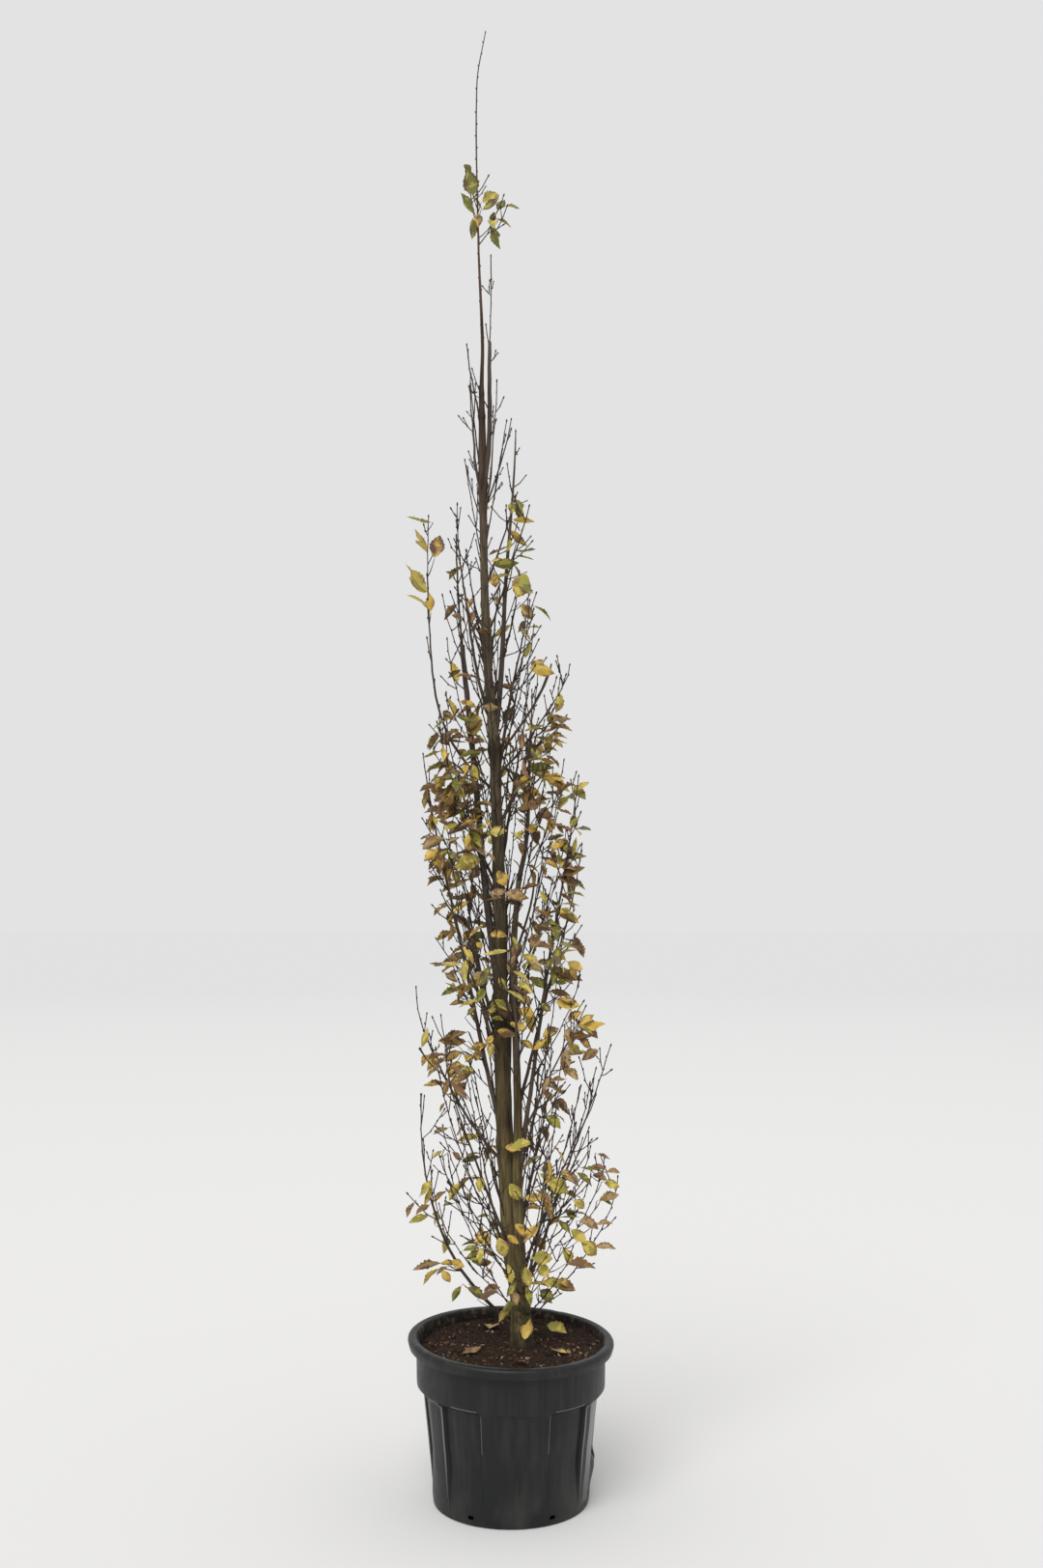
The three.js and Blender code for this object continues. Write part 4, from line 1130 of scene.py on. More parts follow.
class HornbeamPotSettings(bpy.types.PropertyGroup):
    """Sizes and finish of the pot and what fills it."""

    buckle: length("Buckle", 0.014, "How far the wall stands out where it has buckled", 0, 0.03)
    colour: tint("Plastic", (0.0085, 0.0094, 0.0094), "Colour of the moulded plastic")
    # Painted highlight: this pale colour on the panels' edges, one rib and the collar's foot stands in for
    # light caught there
    edge: tint("Highlit edges", (0.165, 0.169, 0.167), "Colour of the panels' rubbed edges")
    algae: tint("Algae", (0.090, 0.080, 0.048), "Colour of the film inside the rim")
    roughness: share("Roughness", 0.44, "How matt the plastic is")
    soil: tint("Growing mix", (0.0115, 0.0058, 0.0036), "Colour of the damp growing mix")
    soil_light: tint("Dry crumbs", (0.044, 0.022, 0.0105), "Colour of its drier crumbs")
    chips: bpy.props.IntProperty(
        name="Chips", description="Bark chips on the soil", default=1700, min=0, max=4000)
    chip_size: length("Chip size", 0.0068, "Middle length of a bark chip", 0.002, 0.03)


class HornbeamBarkSettings(bpy.types.PropertyGroup):
    """Colours of the bark from the foot to the twigs."""

    low: tint("Low bark", (0.215, 0.160, 0.066), "The olive-gold bark of the lower trunk")
    middle: tint("Middle bark", (0.114, 0.080, 0.032), "The darker bark of the middle trunk")
    upper: tint("Upper bark", (0.182, 0.140, 0.078), "The grey-brown bark of the upper trunk")
    top: tint("Young bark", (0.110, 0.066, 0.046), "The redder bark of the leader")
    moss: tint("Moss", (0.040, 0.037, 0.016), "The dark film on the foot of the trunk")
    limb_dark: tint("Limb, dark", (0.024, 0.017, 0.012), "The dark streaks of the limbs")
    limb_light: tint("Limb, light", (0.078, 0.056, 0.040), "The bark of the limbs")
    twig_dark: tint("Twig, dark", (0.016, 0.011, 0.008), "The dark streaks of the twigs")
    twig_light: tint("Twig, light", (0.048, 0.033, 0.024), "The bark of the twigs")
    bud: tint("Bud", (0.044, 0.025, 0.016), "The scales of the buds")


class HornbeamLeafSettings(bpy.types.PropertyGroup):
    """Autumn tints, dealt out by spray, and the shape of a leaf."""

    gold: tint("Gold", (0.560, 0.362, 0.058), "Clear golden yellow")
    butter: tint("Yellow", (0.610, 0.470, 0.110), "Soft yellow")
    lime: tint("Yellow-green", (0.342, 0.314, 0.054), "Yellow with some green left")
    olive: tint("Olive", (0.160, 0.158, 0.036), "Dull green")
    bronze: tint("Bronze", (0.290, 0.180, 0.056), "Brown with yellow in it")
    tan: tint("Tan", (0.400, 0.285, 0.138), "Pale dry brown")
    brown: tint("Brown", (0.118, 0.072, 0.040), "Dark dry brown")
    russet: tint("Russet", (0.210, 0.112, 0.054), "Reddish brown")
    fold: angle("Fold", 9, "How far a leaf's halves fold up at its midrib, at the least", 1.2)
    curl: angle("Curl", 58, "How far a leaf bends down to its tip, at the most", 2.5)
    tooth: share("Teeth", 0.07, "How far the teeth stand out, as a share of the half width")


class HornbeamLightSettings(bpy.types.PropertyGroup):
    """The stage: floor, backdrop and soft light."""

    floor: tint("Floor", (0.735, 0.730, 0.724), "The pale floor")
    # Painted shade: the floor is painted darker with distance, towards this tone, for the light that falls
    # off where it meets the backdrop
    far: tint("Far floor", (0.655, 0.655, 0.655), "The floor where it meets the backdrop")
    sky: tint("Backdrop", (0.768, 0.768, 0.768), "The pale backdrop and its soft light")
    sun: bpy.props.FloatProperty(
        name="Key light", description="Strength of the soft light from above the camera",
        default=1.6, min=0, max=10)
    softness: angle("Softness", 38, "How wide the key light is seen from the object", math.pi)


class HornbeamSettings(bpy.types.PropertyGroup):
    """All the settings of the potted hornbeam."""

    pot: bpy.props.PointerProperty(type=HornbeamPotSettings, name="Pot", description="Pot and soil")
    bark: bpy.props.PointerProperty(
        type=HornbeamBarkSettings, name="Bark", description="Trunk, limbs and twigs")
    leaf: bpy.props.PointerProperty(
        type=HornbeamLeafSettings, name="Leaves", description="Autumn leaves")
    light: bpy.props.PointerProperty(
        type=HornbeamLightSettings, name="Stage", description="Floor and light")


# Pot

def wall_radius(z):
    rise = (z - BASE_BEVEL) / (WALL_TOP - BASE_BEVEL)
    return POT_BASE_RADIUS + (WALL_TOP_RADIUS - POT_BASE_RADIUS) * rise


def panel_share(z):
    return float(np.clip((z - PANEL_FOOT) / PANEL_RISE, 0, 1))


def sunken(around):
    """1 inside a sunken panel and 0 outside, with a narrow slope at its edges."""
    return max(float(smoothstep(low - PANEL_EDGE, low + PANEL_EDGE, around)
                     * smoothstep(-high - PANEL_EDGE, -high + PANEL_EDGE, -around))
               for low, high in PANELS)


def buckled(around, z):
    """How far the wall stands out where it has buckled: a ridge with a sharp upper fold."""
    side = (around - BUCKLE["around"]) / BUCKLE["wide"]
    tall = BUCKLE["above"] if z > BUCKLE["height"] else BUCKLE["below"]
    return BUCKLE["size"] * math.exp(-side ** 2 - ((z - BUCKLE["height"]) / tall) ** 2)


def pot_profile():
    """The pot's section from the middle of its underside, up its wall and down its inside.

    Each row is a radius, a height, and how far the panels and the buckle reach."""
    foot = POT_BASE_RADIUS - BASE_BEVEL
    rows = [(0, 0, 0, 0), (120, 0, 0, 0), (foot, 0, 0, 0)]
    for turn in (30, 60):
        angle = math.radians(turn)
        rows.append((foot + BASE_BEVEL * math.sin(angle), BASE_BEVEL * (1 - math.cos(angle)), 0, 0))
    heights = np.concatenate([np.linspace(*rings) for rings in WALL_RINGS])
    rows += [(wall_radius(z), z, panel_share(z), 1) for z in heights]
    rise = COLLAR_RADIUS - WALL_TOP_RADIUS
    rows += [(WALL_TOP_RADIUS + 0.5, WALL_TOP - 0.5, 1, 0.2),
             (WALL_TOP_RADIUS + rise * 0.3, WALL_TOP + 4, 0.7, 0),
             (COLLAR_RADIUS - rise * 0.22, COLLAR_FOOT - 4, 0.22, 0),
             (COLLAR_RADIUS - 0.8, COLLAR_FOOT - 0.8, 0, 0),
             (COLLAR_RADIUS - 0.5, COLLAR_FOOT + 0.7, 0, 0), (COLLAR_RADIUS - 0.3, COLLAR_FOOT + 2, 0, 0)]
    rows += [(COLLAR_RADIUS + lean, z, 0, 0) for z, lean in COLLAR_LEAN]
    rows += [(RIM_RADIUS - inset, POT_HEIGHT - BEAD_HEIGHT + z, 0, 0) for inset, z in BEAD_SECTION]
    inside = COLLAR_RADIUS - POT_WALL
    rows += [(inside + out, POT_HEIGHT - under, 0, 0) for out, under in RIM_INSIDE]
    rows += [(inside, z, 0, 0) for z in COLLAR_INSIDE]
    rows += [(wall_radius(z) - POT_WALL, z, panel_share(z), 1) for z in WALL_INSIDE]
    rows += [(POT_BASE_RADIUS - POT_WALL, POT_FLOOR, 0, 0), (100, POT_FLOOR, 0, 0), (0, POT_FLOOR, 0, 0)]
    return rows


def pot_angles():
    """Angles round the pot, in degrees, closer together at the panels' edges."""
    angles = set(np.arange(-180, 180, 2.5).tolist())
    for edges in PANELS:
        for edge in edges:
            angles |= {edge + step * PANEL_EDGE for step in (-1.4, -1, -0.35, 0.35, 1, 1.4)}
    return np.array(sorted(angles))


def highlit(around, low):
    """Whether a face carries the painted highlight: along a panel's edge, on one rib, or at the collar's
    foot.
    """
    if low > WALL_TOP:
        return COLLAR_FOOT - 1 < low < COLLAR_FOOT and any(a < around < b for a, b in HIGHLIT_COLLAR)
    if HIGHLIT_RIB[0] < around < HIGHLIT_RIB[1]:
        return True
    front = abs(around) < HIGHLIT_FRONT[0]
    near = any(-1.5 < (around - left) / PANEL_EDGE < (-1.1 if front else -0.9)
               or (0.9 if front else 0.3) < (around - right) / PANEL_EDGE < 1.1 for left, right in PANELS)
    return near and (low > HIGHLIT_FRONT[1] or not front)


def pot_finishes(rows, angles):
    """Which faces carry the painted highlight along the panels' edges (1) or the crusted inside of the rim
    (2).
    """
    finishes = []
    tip = max(range(len(rows)), key=lambda i: rows[i][1])
    for i in range(1, len(rows) - 2):
        _, low, panel, _ = rows[i]
        inside = i > tip + 1 and rows[i + 1][0] < COLLAR_RADIUS
        for around in angles:
            # Faces on the panels' edges, the rib and the collar's foot get the painted highlight (finish 1)
            step = i < tip and (panel > 0 or low > WALL_TOP) and highlit(around, low)
            finishes.append(2 if inside else 1 if step else 0)
    return finishes


def build_pot(settings):
    rows, angles = pot_profile(), pot_angles()
    buckle = settings.buckle / MM / BUCKLE["size"]
    points, faces = [], []
    for radius, height, panel, wall in rows[1:-1]:
        for around in angles:
            angle = math.radians(around)
            x, y = math.sin(angle), -math.cos(angle)
            shrink = panel * PANEL_DEPTH * sunken(around)
            side = (around - FOLD["around"]) / FOLD["wide"]
            fold = math.exp(-side ** 2 - ((height - FOLD["height"]) / FOLD["tall"]) ** 2)
            shrink -= wall * (buckle * buckled(around, height) - FOLD["size"] * fold)
            shrink += wall * UNEVEN * noisy((x, y, height / 150), 2.3, 5)
            size = radius - shrink
            if radius > COLLAR_RADIUS + 4:
                size -= RIM_KINK * math.exp(-((around - RIM_KINK_AT[0]) / RIM_KINK_AT[1]) ** 2)
            x, y = size * x, size * y
            tilt = (y * RIM_TILT["front"] - x * RIM_TILT["side"]) * height / POT_HEIGHT
            points.append((x, y, height + tilt))
    sides = len(angles)
    faces = ring_faces(len(rows) - 2, sides)
    finishes = pot_finishes(rows, angles)
    last = (len(rows) - 3) * sides
    points += [(0, 0, 0), (0, 0, POT_FLOOR)]
    foot, floor = len(points) - 2, len(points) - 1
    for j in range(sides):
        after = (j + 1) % sides
        faces += [[foot, after, j], [last + j, last + after, floor]]
    build = Build()
    build.add(points, faces, finishes + [0] * 2 * sides)
    materials = [pot_plastic(settings), pot_edge_highlights(settings), pot_inside(settings)]
    pot = build.piece("pot_moulded", materials, "pot_plastic", ["pot"])
    cut_slots(pot)
    pot.data.polygons.foreach_set("use_smooth", [True] * len(pot.data.polygons))
    pot.data.set_sharp_from_angle(angle=math.radians(32))
    return pot


def cut_slots(pot):
    """Cuts the drain slots through the foot of the pot's wall."""
    build = Build()
    long, deep, tall = (size / 2 for size in SLOT_SIZE)
    corners = [(x, y, z) for x in (-long, long) for y in (-deep, deep) for z in (-tall, tall)]
    faces = [[2, 3, 1, 0], [5, 7, 6, 4], [1, 5, 4, 0], [6, 7, 3, 2], [4, 6, 2, 0], [3, 7, 5, 1]]
    for i in range(SLOTS):
        angle = math.radians(FIRST_SLOT + 360 * i / SLOTS)
        out = np.array([math.sin(angle), -math.cos(angle), 0])
        side = np.array([math.cos(angle), math.sin(angle), 0])
        middle = out * wall_radius(SLOT_HEIGHT) + UP * SLOT_HEIGHT
        build.add([middle + side * x + out * y + UP * z for x, y, z in corners], faces)
    cutter = add_object("slots", np.concatenate(build.points) * MM, build.faces)
    cut = pot.modifiers.new("slots", "BOOLEAN")
    cut.operation, cut.solver, cut.object = "DIFFERENCE", "EXACT", cutter
    graph = bpy.context.evaluated_depsgraph_get()
    result = bpy.data.meshes.new_from_object(pot.evaluated_get(graph))
    pot.modifiers.clear()
    pot.data = result
    bpy.data.objects.remove(cutter)


# Soil

# Rings of the surface: from and to which radius and how many. Under it: radius and height
SOIL_RINGS = (4, 238, 96)
SOIL_RADIUS = 241.5
SOIL_UNDER = [(SOIL_RADIUS, COLLAR_FOOT + 6), (212, WALL_TOP), (176, 8)]
SOIL_SIDES = 280
# Lumps of the surface: height, scale and seed. All but the last are lower round the trunk
LUMPS = [(3.4, 0.020, 3), (3.4, 0.06, 9), (3.6, 0.13, 1), (2.2, 0.3, 7)]
ROUND_TRUNK = (30, 75)
SOIL_EDGE = (205, 240)
SOIL_SINK = 2
# The heap at the back of the pot's edge: its height, and between which depths it rises
HEAP = 9
HEAP_BACK = (40, 200)


def soil_height(x, y):
    """The surface of the soil, a little sunk at its edge and heaped at the back."""
    near = smoothstep(*ROUND_TRUNK, math.hypot(x - TRUNK[0][1], y))
    large, middle, small, fine = (size * noisy((x, y, 0), scale, seed) for size, scale, seed in LUMPS)
    lumps = (large + middle + abs(small)) * (0.3 + 0.7 * near) + fine
    edge = smoothstep(*SOIL_EDGE, math.hypot(x, y))
    heap = HEAP * edge * smoothstep(*HEAP_BACK, y)
    return SOIL_TOP - SOIL_SINK + lumps * (1 - 0.5 * edge) - SOIL_SINK * edge + heap


def build_soil(settings):
    radii = np.concatenate([np.linspace(*SOIL_RINGS), [SOIL_RADIUS]])
    sides = SOIL_SIDES
    angles = np.arange(sides) * 2 * math.pi / sides
    points = [(0, 0, soil_height(0, 0))]
    for radius in radii:
        for angle in angles:
            x, y = radius * math.cos(angle), radius * math.sin(angle)
            points.append((x, y, soil_height(x, y)))
    for radius, height in SOIL_UNDER:
        points += [(radius * math.cos(a), radius * math.sin(a), height) for a in angles]
    rings = len(radii) + len(SOIL_UNDER)
    faces = [[0, 1 + j, 1 + (j + 1) % sides] for j in range(sides)]
    faces += [[i + 1 for i in face][::-1] for face in ring_faces(rings, sides)]
    faces.append([1 + (rings - 1) * sides + j for j in range(sides)][::-1])
    build = Build()
    build.add(points, faces)
    mix = growing_mix("growing_mix", settings.soil, settings.soil_light)
    build.piece("soil_surface", [mix], "soil_mix", ["soil"])
    build_chips(settings)


# Tones of the chips, the last one that of grit, and the share of each
CHIP_TONES = [((0.016, 0.009, 0.006), 0.38), ((0.040, 0.022, 0.013), 0.28),
              ((0.12, 0.070, 0.038), 0.13), ((0.29, 0.20, 0.12), 0.07),
              ((0.135, 0.058, 0.024), 0.11), ((0.32, 0.30, 0.25), 0.03)]
CHIP_SEED = 8117
CHIP_REACH = 237
CHIP_CORNERS = 6
# Length as a share of the middle one, width as a share of the length, and thickness, and the sizes
# of grit. A pair is the least and what chance adds
CHIP_LENGTH = (0.45, 1.9)
CHIP_WIDTH = (0.25, 0.4)
CHIP_THICKNESS = (0.7, 1.6)
GRIT_LENGTH = (2.5, 3)
GRIT_WIDTH = (2.5, 2)
GRIT_THICKNESS = 1.8
CHIP_LEAN = 0.9
# How far from the trunk's middle the chips start, and between which depths the pale ones get fewer
CHIPS_FROM = 34
PALE_FADE = (-60, 120)


def build_chips(settings):
    """Bark chips, dark, orange or pale, and grey-white grit, more of them towards the front."""
    materials = [growing_mix(f"chip_{i}", colour, tuple(c * 1.35 for c in colour))
                 for i, (colour, _) in enumerate(CHIP_TONES)]
    draw = seeded(CHIP_SEED)
    build = Build()
    for _ in range(settings.chips):
        reach, angle = CHIP_REACH * math.sqrt(draw()), 2 * math.pi * draw()
        x, y = reach * math.cos(angle), reach * math.sin(angle)
        pick, finish = draw(), 0
        while finish < len(CHIP_TONES) - 1 and pick > CHIP_TONES[finish][1]:
            pick -= CHIP_TONES[finish][1]
            finish += 1
        if finish > 1 and draw() < 0.5 * float(smoothstep(*PALE_FADE, y)):
            finish = 0
        size = settings.chip_size / MM * (CHIP_LENGTH[0] + CHIP_LENGTH[1] * draw() ** 3)
        wide, thick = size * chance(draw, CHIP_WIDTH), chance(draw, CHIP_THICKNESS)
        if finish == len(CHIP_TONES) - 1:
            size, wide, thick = chance(draw, GRIT_LENGTH), chance(draw, GRIT_WIDTH), GRIT_THICKNESS
        if math.hypot(x - TRUNK[0][1], y) < CHIPS_FROM + size / 2:
            continue
        corners = CHIP_CORNERS
        turn, lean, tip = 2 * math.pi * draw(), CHIP_LEAN * (draw() - 0.5), CHIP_LEAN * (draw() - 0.5)
        outline = [(size / 2 * math.cos(a + 0.3 * (draw() - 0.5)) * (0.7 + 0.6 * draw()),
                    wide / 2 * math.sin(a) * (0.7 + 0.6 * draw()))
                   for a in np.arange(corners) * 2 * math.pi / corners]
        z = soil_height(x, y) + 0.5 + 0.22 * size * abs(lean)
        points = []
        for lift in (-thick / 2, thick / 2):
            for a, b in outline:
                px = a * math.cos(turn) - b * math.sin(turn)
                py = a * math.sin(turn) + b * math.cos(turn)
                points.append((x + px, y + py, z + lift + lean * a + tip * b))
        faces = ring_faces(2, corners) + [list(range(corners))[::-1], list(range(corners, 2 * corners))]
        build.add(points, faces, finish)
    build.piece("bark_chips", materials, "soil_mix", smooth=False)


# Trunk, second stem and limbs

# How finely the two stems are drawn: sides and rings. The trunk's foot is in the soil
TRUNK_MESH = (44, 560)
SECOND_MESH = (26, 260)
TRUNK_FOOT = 381
# Between these radii the relief fades in. Flutes: share of the radius, how many, the height over which
# they wind, and the seed's share. Ridges: height, scale round the stem, length along it, scale in
# all, and what is added to the seed
RELIEF_FADE = (2, 9)
FLUTES = [(0.030, 3, 230, 1), (0.018, 5, -170, 0)]
RIDGES = [(0.9, 3.2, 90, 1.6, 0), (0.7, 8, 60, 1.3, 20)]
# Flutes of the foot: share of the radius, how many, where they start, and how high they reach
FOOT_FLUTES = (0.07, 4, 0.7, 55)
# The collar round a limb's foot
BRANCH_COLLAR = {"rise": 12, "near": 40, "size": 0.55, "above": 4, "tall": 13, "wide": 0.25}
# Wood is this much thicker where it has buds
NODE_SWELL = 1.1
CUT_SWELL = 0.06
REGROWN_RADIUS = 1.6
# Sides of a thin and a thick limb, and of a stub
LIMB_SIDES = (6, 8)
STUB_SIDES = 7


def bark_tube(stem, mesh, low, high, collars, seed):
    """A stem with the relief of its bark: soft flutes, fine ridges, knots and branch collars."""
    sides, rings = mesh
    share, count, start, tall = FOOT_FLUTES
    points = []
    for z in np.linspace(low, high, rings):
        middle = stem.place(max(z, stem.foot))
        radius = stem.thickness(max(z, stem.foot))
        fade = smoothstep(*RELIEF_FADE, radius)
        flare = math.exp(-(z - TRUNK[0][0]) / tall)
        for j in range(sides):
            angle = 2 * math.pi * j / sides
            out = np.array([math.cos(angle), math.sin(angle), 0])
            flutes = sum(part * math.sin(number * angle + z / wind + seed * turn)
                         for part, number, wind, turn in FLUTES)
            flutes += share * flare * math.sin(count * angle + start) * fade
            ridges = sum(rise * noisy((out[0] * fine, out[1] * fine, z / long), scale, seed + more)
                         for rise, fine, long, scale, more in RIDGES)
            size = radius * (1 + flutes) + ridges * fade
            for height, girth in GNARLS:
                gnarl = girth * math.exp(-((z - height) / GNARL_LENGTH) ** 2)
                size += gnarl * (0.6 + 0.5 * math.sin(3 * angle + height))
            for height, heading, girth in collars:
                off = 1 - out[0] * heading[0] - out[1] * heading[1]
                if abs(z - height) < BRANCH_COLLAR["near"]:
                    above = (z - height - BRANCH_COLLAR["above"]) / BRANCH_COLLAR["tall"]
                    beside = off / BRANCH_COLLAR["wide"]
                    size += girth * BRANCH_COLLAR["size"] * math.exp(-above ** 2 - beside ** 2)
            points.append(middle * (1, 1, 0) + out * size + UP * z)
    faces = ring_faces(rings, sides)
    faces += [list(range(sides))[::-1], [(rings - 1) * sides + j for j in range(sides)]]
    return points, faces


def collars_on(host):
    grown = []
    for limb in LIMB_LIST:
        if limb.host == host:
            level = unit(limb.run * (1, 1, 0))
            grown.append((limb.foot + BRANCH_COLLAR["rise"], level, limb.girth))
    return grown


def build_trunk(settings):
    finish = trunk_bark(settings)
    build = Build()
    build.add(*bark_tube(TRUNK_STEM, TRUNK_MESH, TRUNK_FOOT, TRUNK_STEM.tip, collars_on("trunk"), 2.0))
    build.piece("trunk_bark", [finish], "bark", ["trunk"])
    build = Build()
    build.add(*bark_tube(SECOND, SECOND_MESH, SECOND.foot, SECOND.tip, collars_on("second"), 9.0))
    build.piece("second_stem_bark", [finish], "bark", ["second_stem"])


def bowed(root, run):
    """The line of a limb that was cut off, bowed up from its root."""
    return lambda t: root + np.array([*(run[:2] * (1 - (1 - t) ** STUB_BOW)), run[2] * t])


def build_limbs(settings):
    finish = bark("limb_bark", settings.limb_dark, settings.limb_light)
    build = Build()
    for limb, shoot in zip(LIMB_LIST, crown()["limbs"]):
        sides = LIMB_SIDES[int(limb.girth > THICK_LIMB)]
        if limb.name in CUT_BACK:
            taper, regrown, end = CUT_BACK[limb.name]
            cut = int(np.searchsorted(shoot.shares, end))
            whole = limb.girth * (1 - taper * shoot.shares)
            thick = whole[:cut + 1] * (1 + CUT_SWELL * (np.arange(cut + 1) % 2))
            build.add(*tube(shoot.points[:cut + 1], thick, sides, tip=False))
            thin = np.maximum(REGROWN_RADIUS, whole[cut - 1:] * regrown)
            build.add(*tube(shoot.points[cut - 1:], thin, LIMB_SIDES[0]))
        else:
            build.add(*tube(shoot.points, with_nodes(shoot), sides))
    for k, (foot, tip, girth) in enumerate(STUBS):
        root = TRUNK_STEM.place(foot)
        run = np.array(tip) - root
        stub = Shoot(bowed(root, run), float(np.linalg.norm(run)), tapered(girth, STUB_TAPER),
                     seeded(STUB_SEED + k))
        build.add(*tube(stub.points, with_nodes(stub), STUB_SIDES, tip=False))
    replaced = [f"bough_{limb.name}" for limb in LIMB_LIST if limb.bare > 0]
    build.piece("limbs_bark", [finish], "bark", replaced)


def with_nodes(shoot):
    """A shoot's radii, a little thicker where it has its buds."""
    radii = shoot.radii.copy()
    radii[1:-1] *= NODE_SWELL
    return radii


def add_shoots(build, kind):
    for shoot in crown()[kind]:
        build.add(*tube(shoot.points, with_nodes(shoot), TWIG_SIDES[kind]))


def mass_nodes():
    return [f"mass_{limb.name}" for limb in LIMB_LIST]


# Sides of the twigs, and the short spurs that bear the leaves listed one by one: shares of the length,
# the radius there, and how they curve up
TWIG_SIDES = {"mains": 5, "fines": 4, "spur": 4}
SPUR_SHARES = (0, 0.35, 0.7, 1)
SPUR_RADII = np.array([1.6, 1.4, 1.1, 0.9])
SPUR_CURVE = 1.4


def build_twigs(settings):
    finish = bark("twig_bark", settings.twig_dark, settings.twig_light)
    build = Build()
    add_shoots(build, "mains")
    carriers = [TRUNK_STEM.place(z) for z in range(430, TRUNK_STEM.tip, 12)]
    for kind in ("limbs", "mains", "fines"):
        carriers += [point for shoot in crown()[kind] for point in shoot.points]
    carriers = np.array(carriers)
    for place, *_ in SPURS:
        end = np.array(place, float)
        below = carriers[(carriers[:, 2] < end[2] - SPUR_RISE[0]) & (carriers[:, 2] > end[2] - SPUR_RISE[1])]
        root = below[np.argmin(np.linalg.norm(below - end, axis=1))]
        places = np.array([root + (end - root) * (t, t, t ** SPUR_CURVE) for t in SPUR_SHARES])
        build.add(*tube(places, SPUR_RADII, TWIG_SIDES["spur"]))
    build.piece("twigs", [finish], "bark", mass_nodes())
    build = Build()
    add_shoots(build, "fines")
    build.piece("fine_twigs", [finish], "bark", mass_nodes())


# Sizes, as the least and what chance adds, and how far the buds lean out, in degrees
BUD_SIZE = (6.6, 2.6)
END_BUD_SIZE = (9.0, 2.5)
BUD_LEAN = (12, 12)
BUD_GIRTH = 0.23
# No buds on thicker wood, or this near to where a shoot starts
BUDLESS_RADIUS = 3.4
BUDLESS_SHARE = 0.12
# Buds of the leader: from and to which height, how far apart, and their sizes
LEADER_BUDS = (3120, 3990, 34)
LEADER_BUD_SIZE = 7.0
TOP_BUD_SIZE = 8.0


def add_bud(build, root, along, size):
    """A slim pointed bud."""
    girth = size * BUD_GIRTH
    places = np.array([root, root + along * size * 0.35, root + along * size * 0.75])
    build.add(*tube(places, np.array([girth * 0.7, girth, girth * 0.55]), 4))


def build_buds(settings):
    nodes = Finish("bud_scales", settings.bud, 0.6, 0.4)
    scales = nodes.ramp(nodes.noise(900, 3, 0.6), [(0.35, tuple(c * 0.6 for c in settings.bud)),
                                                   (0.65, tuple(c * 1.5 for c in settings.bud))])
    nodes.paint(scales)
    build = Build()
    for shoot in crown()["limbs"] + crown()["mains"] + crown()["fines"]:
        draw = seeded(1 + round(abs(shoot.points[-1][0]) * 100) + round(shoot.points[-1][2] * 10))
        for i in range(1, len(shoot.points) - 1):
            if shoot.radii[i] > BUDLESS_RADIUS or shoot.shares[i] < BUDLESS_SHARE:
                continue
            along = unit(shoot.points[i + 1] - shoot.points[i])
            side = shoot.side * (-1 if i % 2 else 1)
            lean = math.radians(chance(draw, BUD_LEAN))
            heading = along * math.cos(lean) + side * math.sin(lean)
            root = shoot.points[i] + side * shoot.radii[i] * 0.6
            add_bud(build, root, heading, chance(draw, BUD_SIZE))
        end = unit(shoot.points[-1] - shoot.points[-2])
        add_bud(build, shoot.points[-1] - end, end, chance(draw, END_BUD_SIZE))
    for k, z in enumerate(np.arange(*LEADER_BUDS)):
        side = turned(20 + 170 * (k % 2) + 25 * math.sin(k))
        root = TRUNK_STEM.place(z) + side * TRUNK_STEM.thickness(z) * 0.7
        add_bud(build, root, unit(UP + side * 0.45), LEADER_BUD_SIZE)
    tip = TRUNK_STEM.place(TRUNK_STEM.tip - 8)
    add_bud(build, tip, unit(UP + turned(0) * 0.25), TOP_BUD_SIZE)
    build.piece("buds", [nodes.material], "bark", mass_nodes())


# Leaves

LEAF_ROWS = [(0.0, 0.10), (0.05, 0.42), (0.12, 0.70), (0.20, 0.89), (0.29, 0.98), (0.38, 1.0),
             (0.47, 0.96), (0.56, 0.87), (0.65, 0.73), (0.74, 0.56), (0.82, 0.39), (0.89, 0.23),
             (0.95, 0.10), (1.0, 0.0)]
LEAF_COLUMNS = (-1.0, -0.68, -0.34, 0.0, 0.34, 0.68, 1.0)
DRAWN_WIDTH = (0.66, 0.44)
VEIN_SWEEP = 0.13
# What chance and dryness add to a blade's fold, bend, pleats and ripples, how many blades bend up
# and how far, and how far they twist
FOLD_MORE = (22, 24)
BEND = (0.1, 0.5, 0.5)
BENT_UP = (0.3, -0.7)
TWIST = 56
PLEAT = (0.05, 0.04)
RIPPLE = (0.10, 0.16)
SPUR_SEED = (6007, 17)
# Each tint with the darker one of its scorched margins and the one that it turns to in patches
TINTS = {"gold": ("bronze", "butter"), "butter": ("tan", "lime"), "lime": ("bronze", "butter"),
         "olive": ("brown", "lime"), "bronze": ("brown", "gold"), "tan": ("russet", "bronze"),
         "brown": ("russet", "bronze"), "russet": ("brown", "bronze")}
DRYNESS = {"brown": 1, "russet": 0.8, "tan": 0.7, "bronze": 0.45}
# Heights up to which a mixture of tints holds, and the shares of the tints in their order
MIXTURES = [
    (900, (0.12, 0.12, 0.24, 0.20, 0.16, 0.07, 0.05, 0.04)),
    (1450, (0.18, 0.07, 0.17, 0.13, 0.20, 0.10, 0.08, 0.07)),
    (2250, (0.14, 0.06, 0.21, 0.23, 0.17, 0.08, 0.07, 0.04)),
    (2800, (0.10, 0.05, 0.26, 0.26, 0.20, 0.06, 0.04, 0.03)),
    (4100, (0.04, 0.06, 0.28, 0.47, 0.10, 0.02, 0.02, 0.01)),
]
STRAY_MIXTURE = (0.06, 0.30, 0.30, 0.28, 0.06, 0.0, 0.0, 0.0)
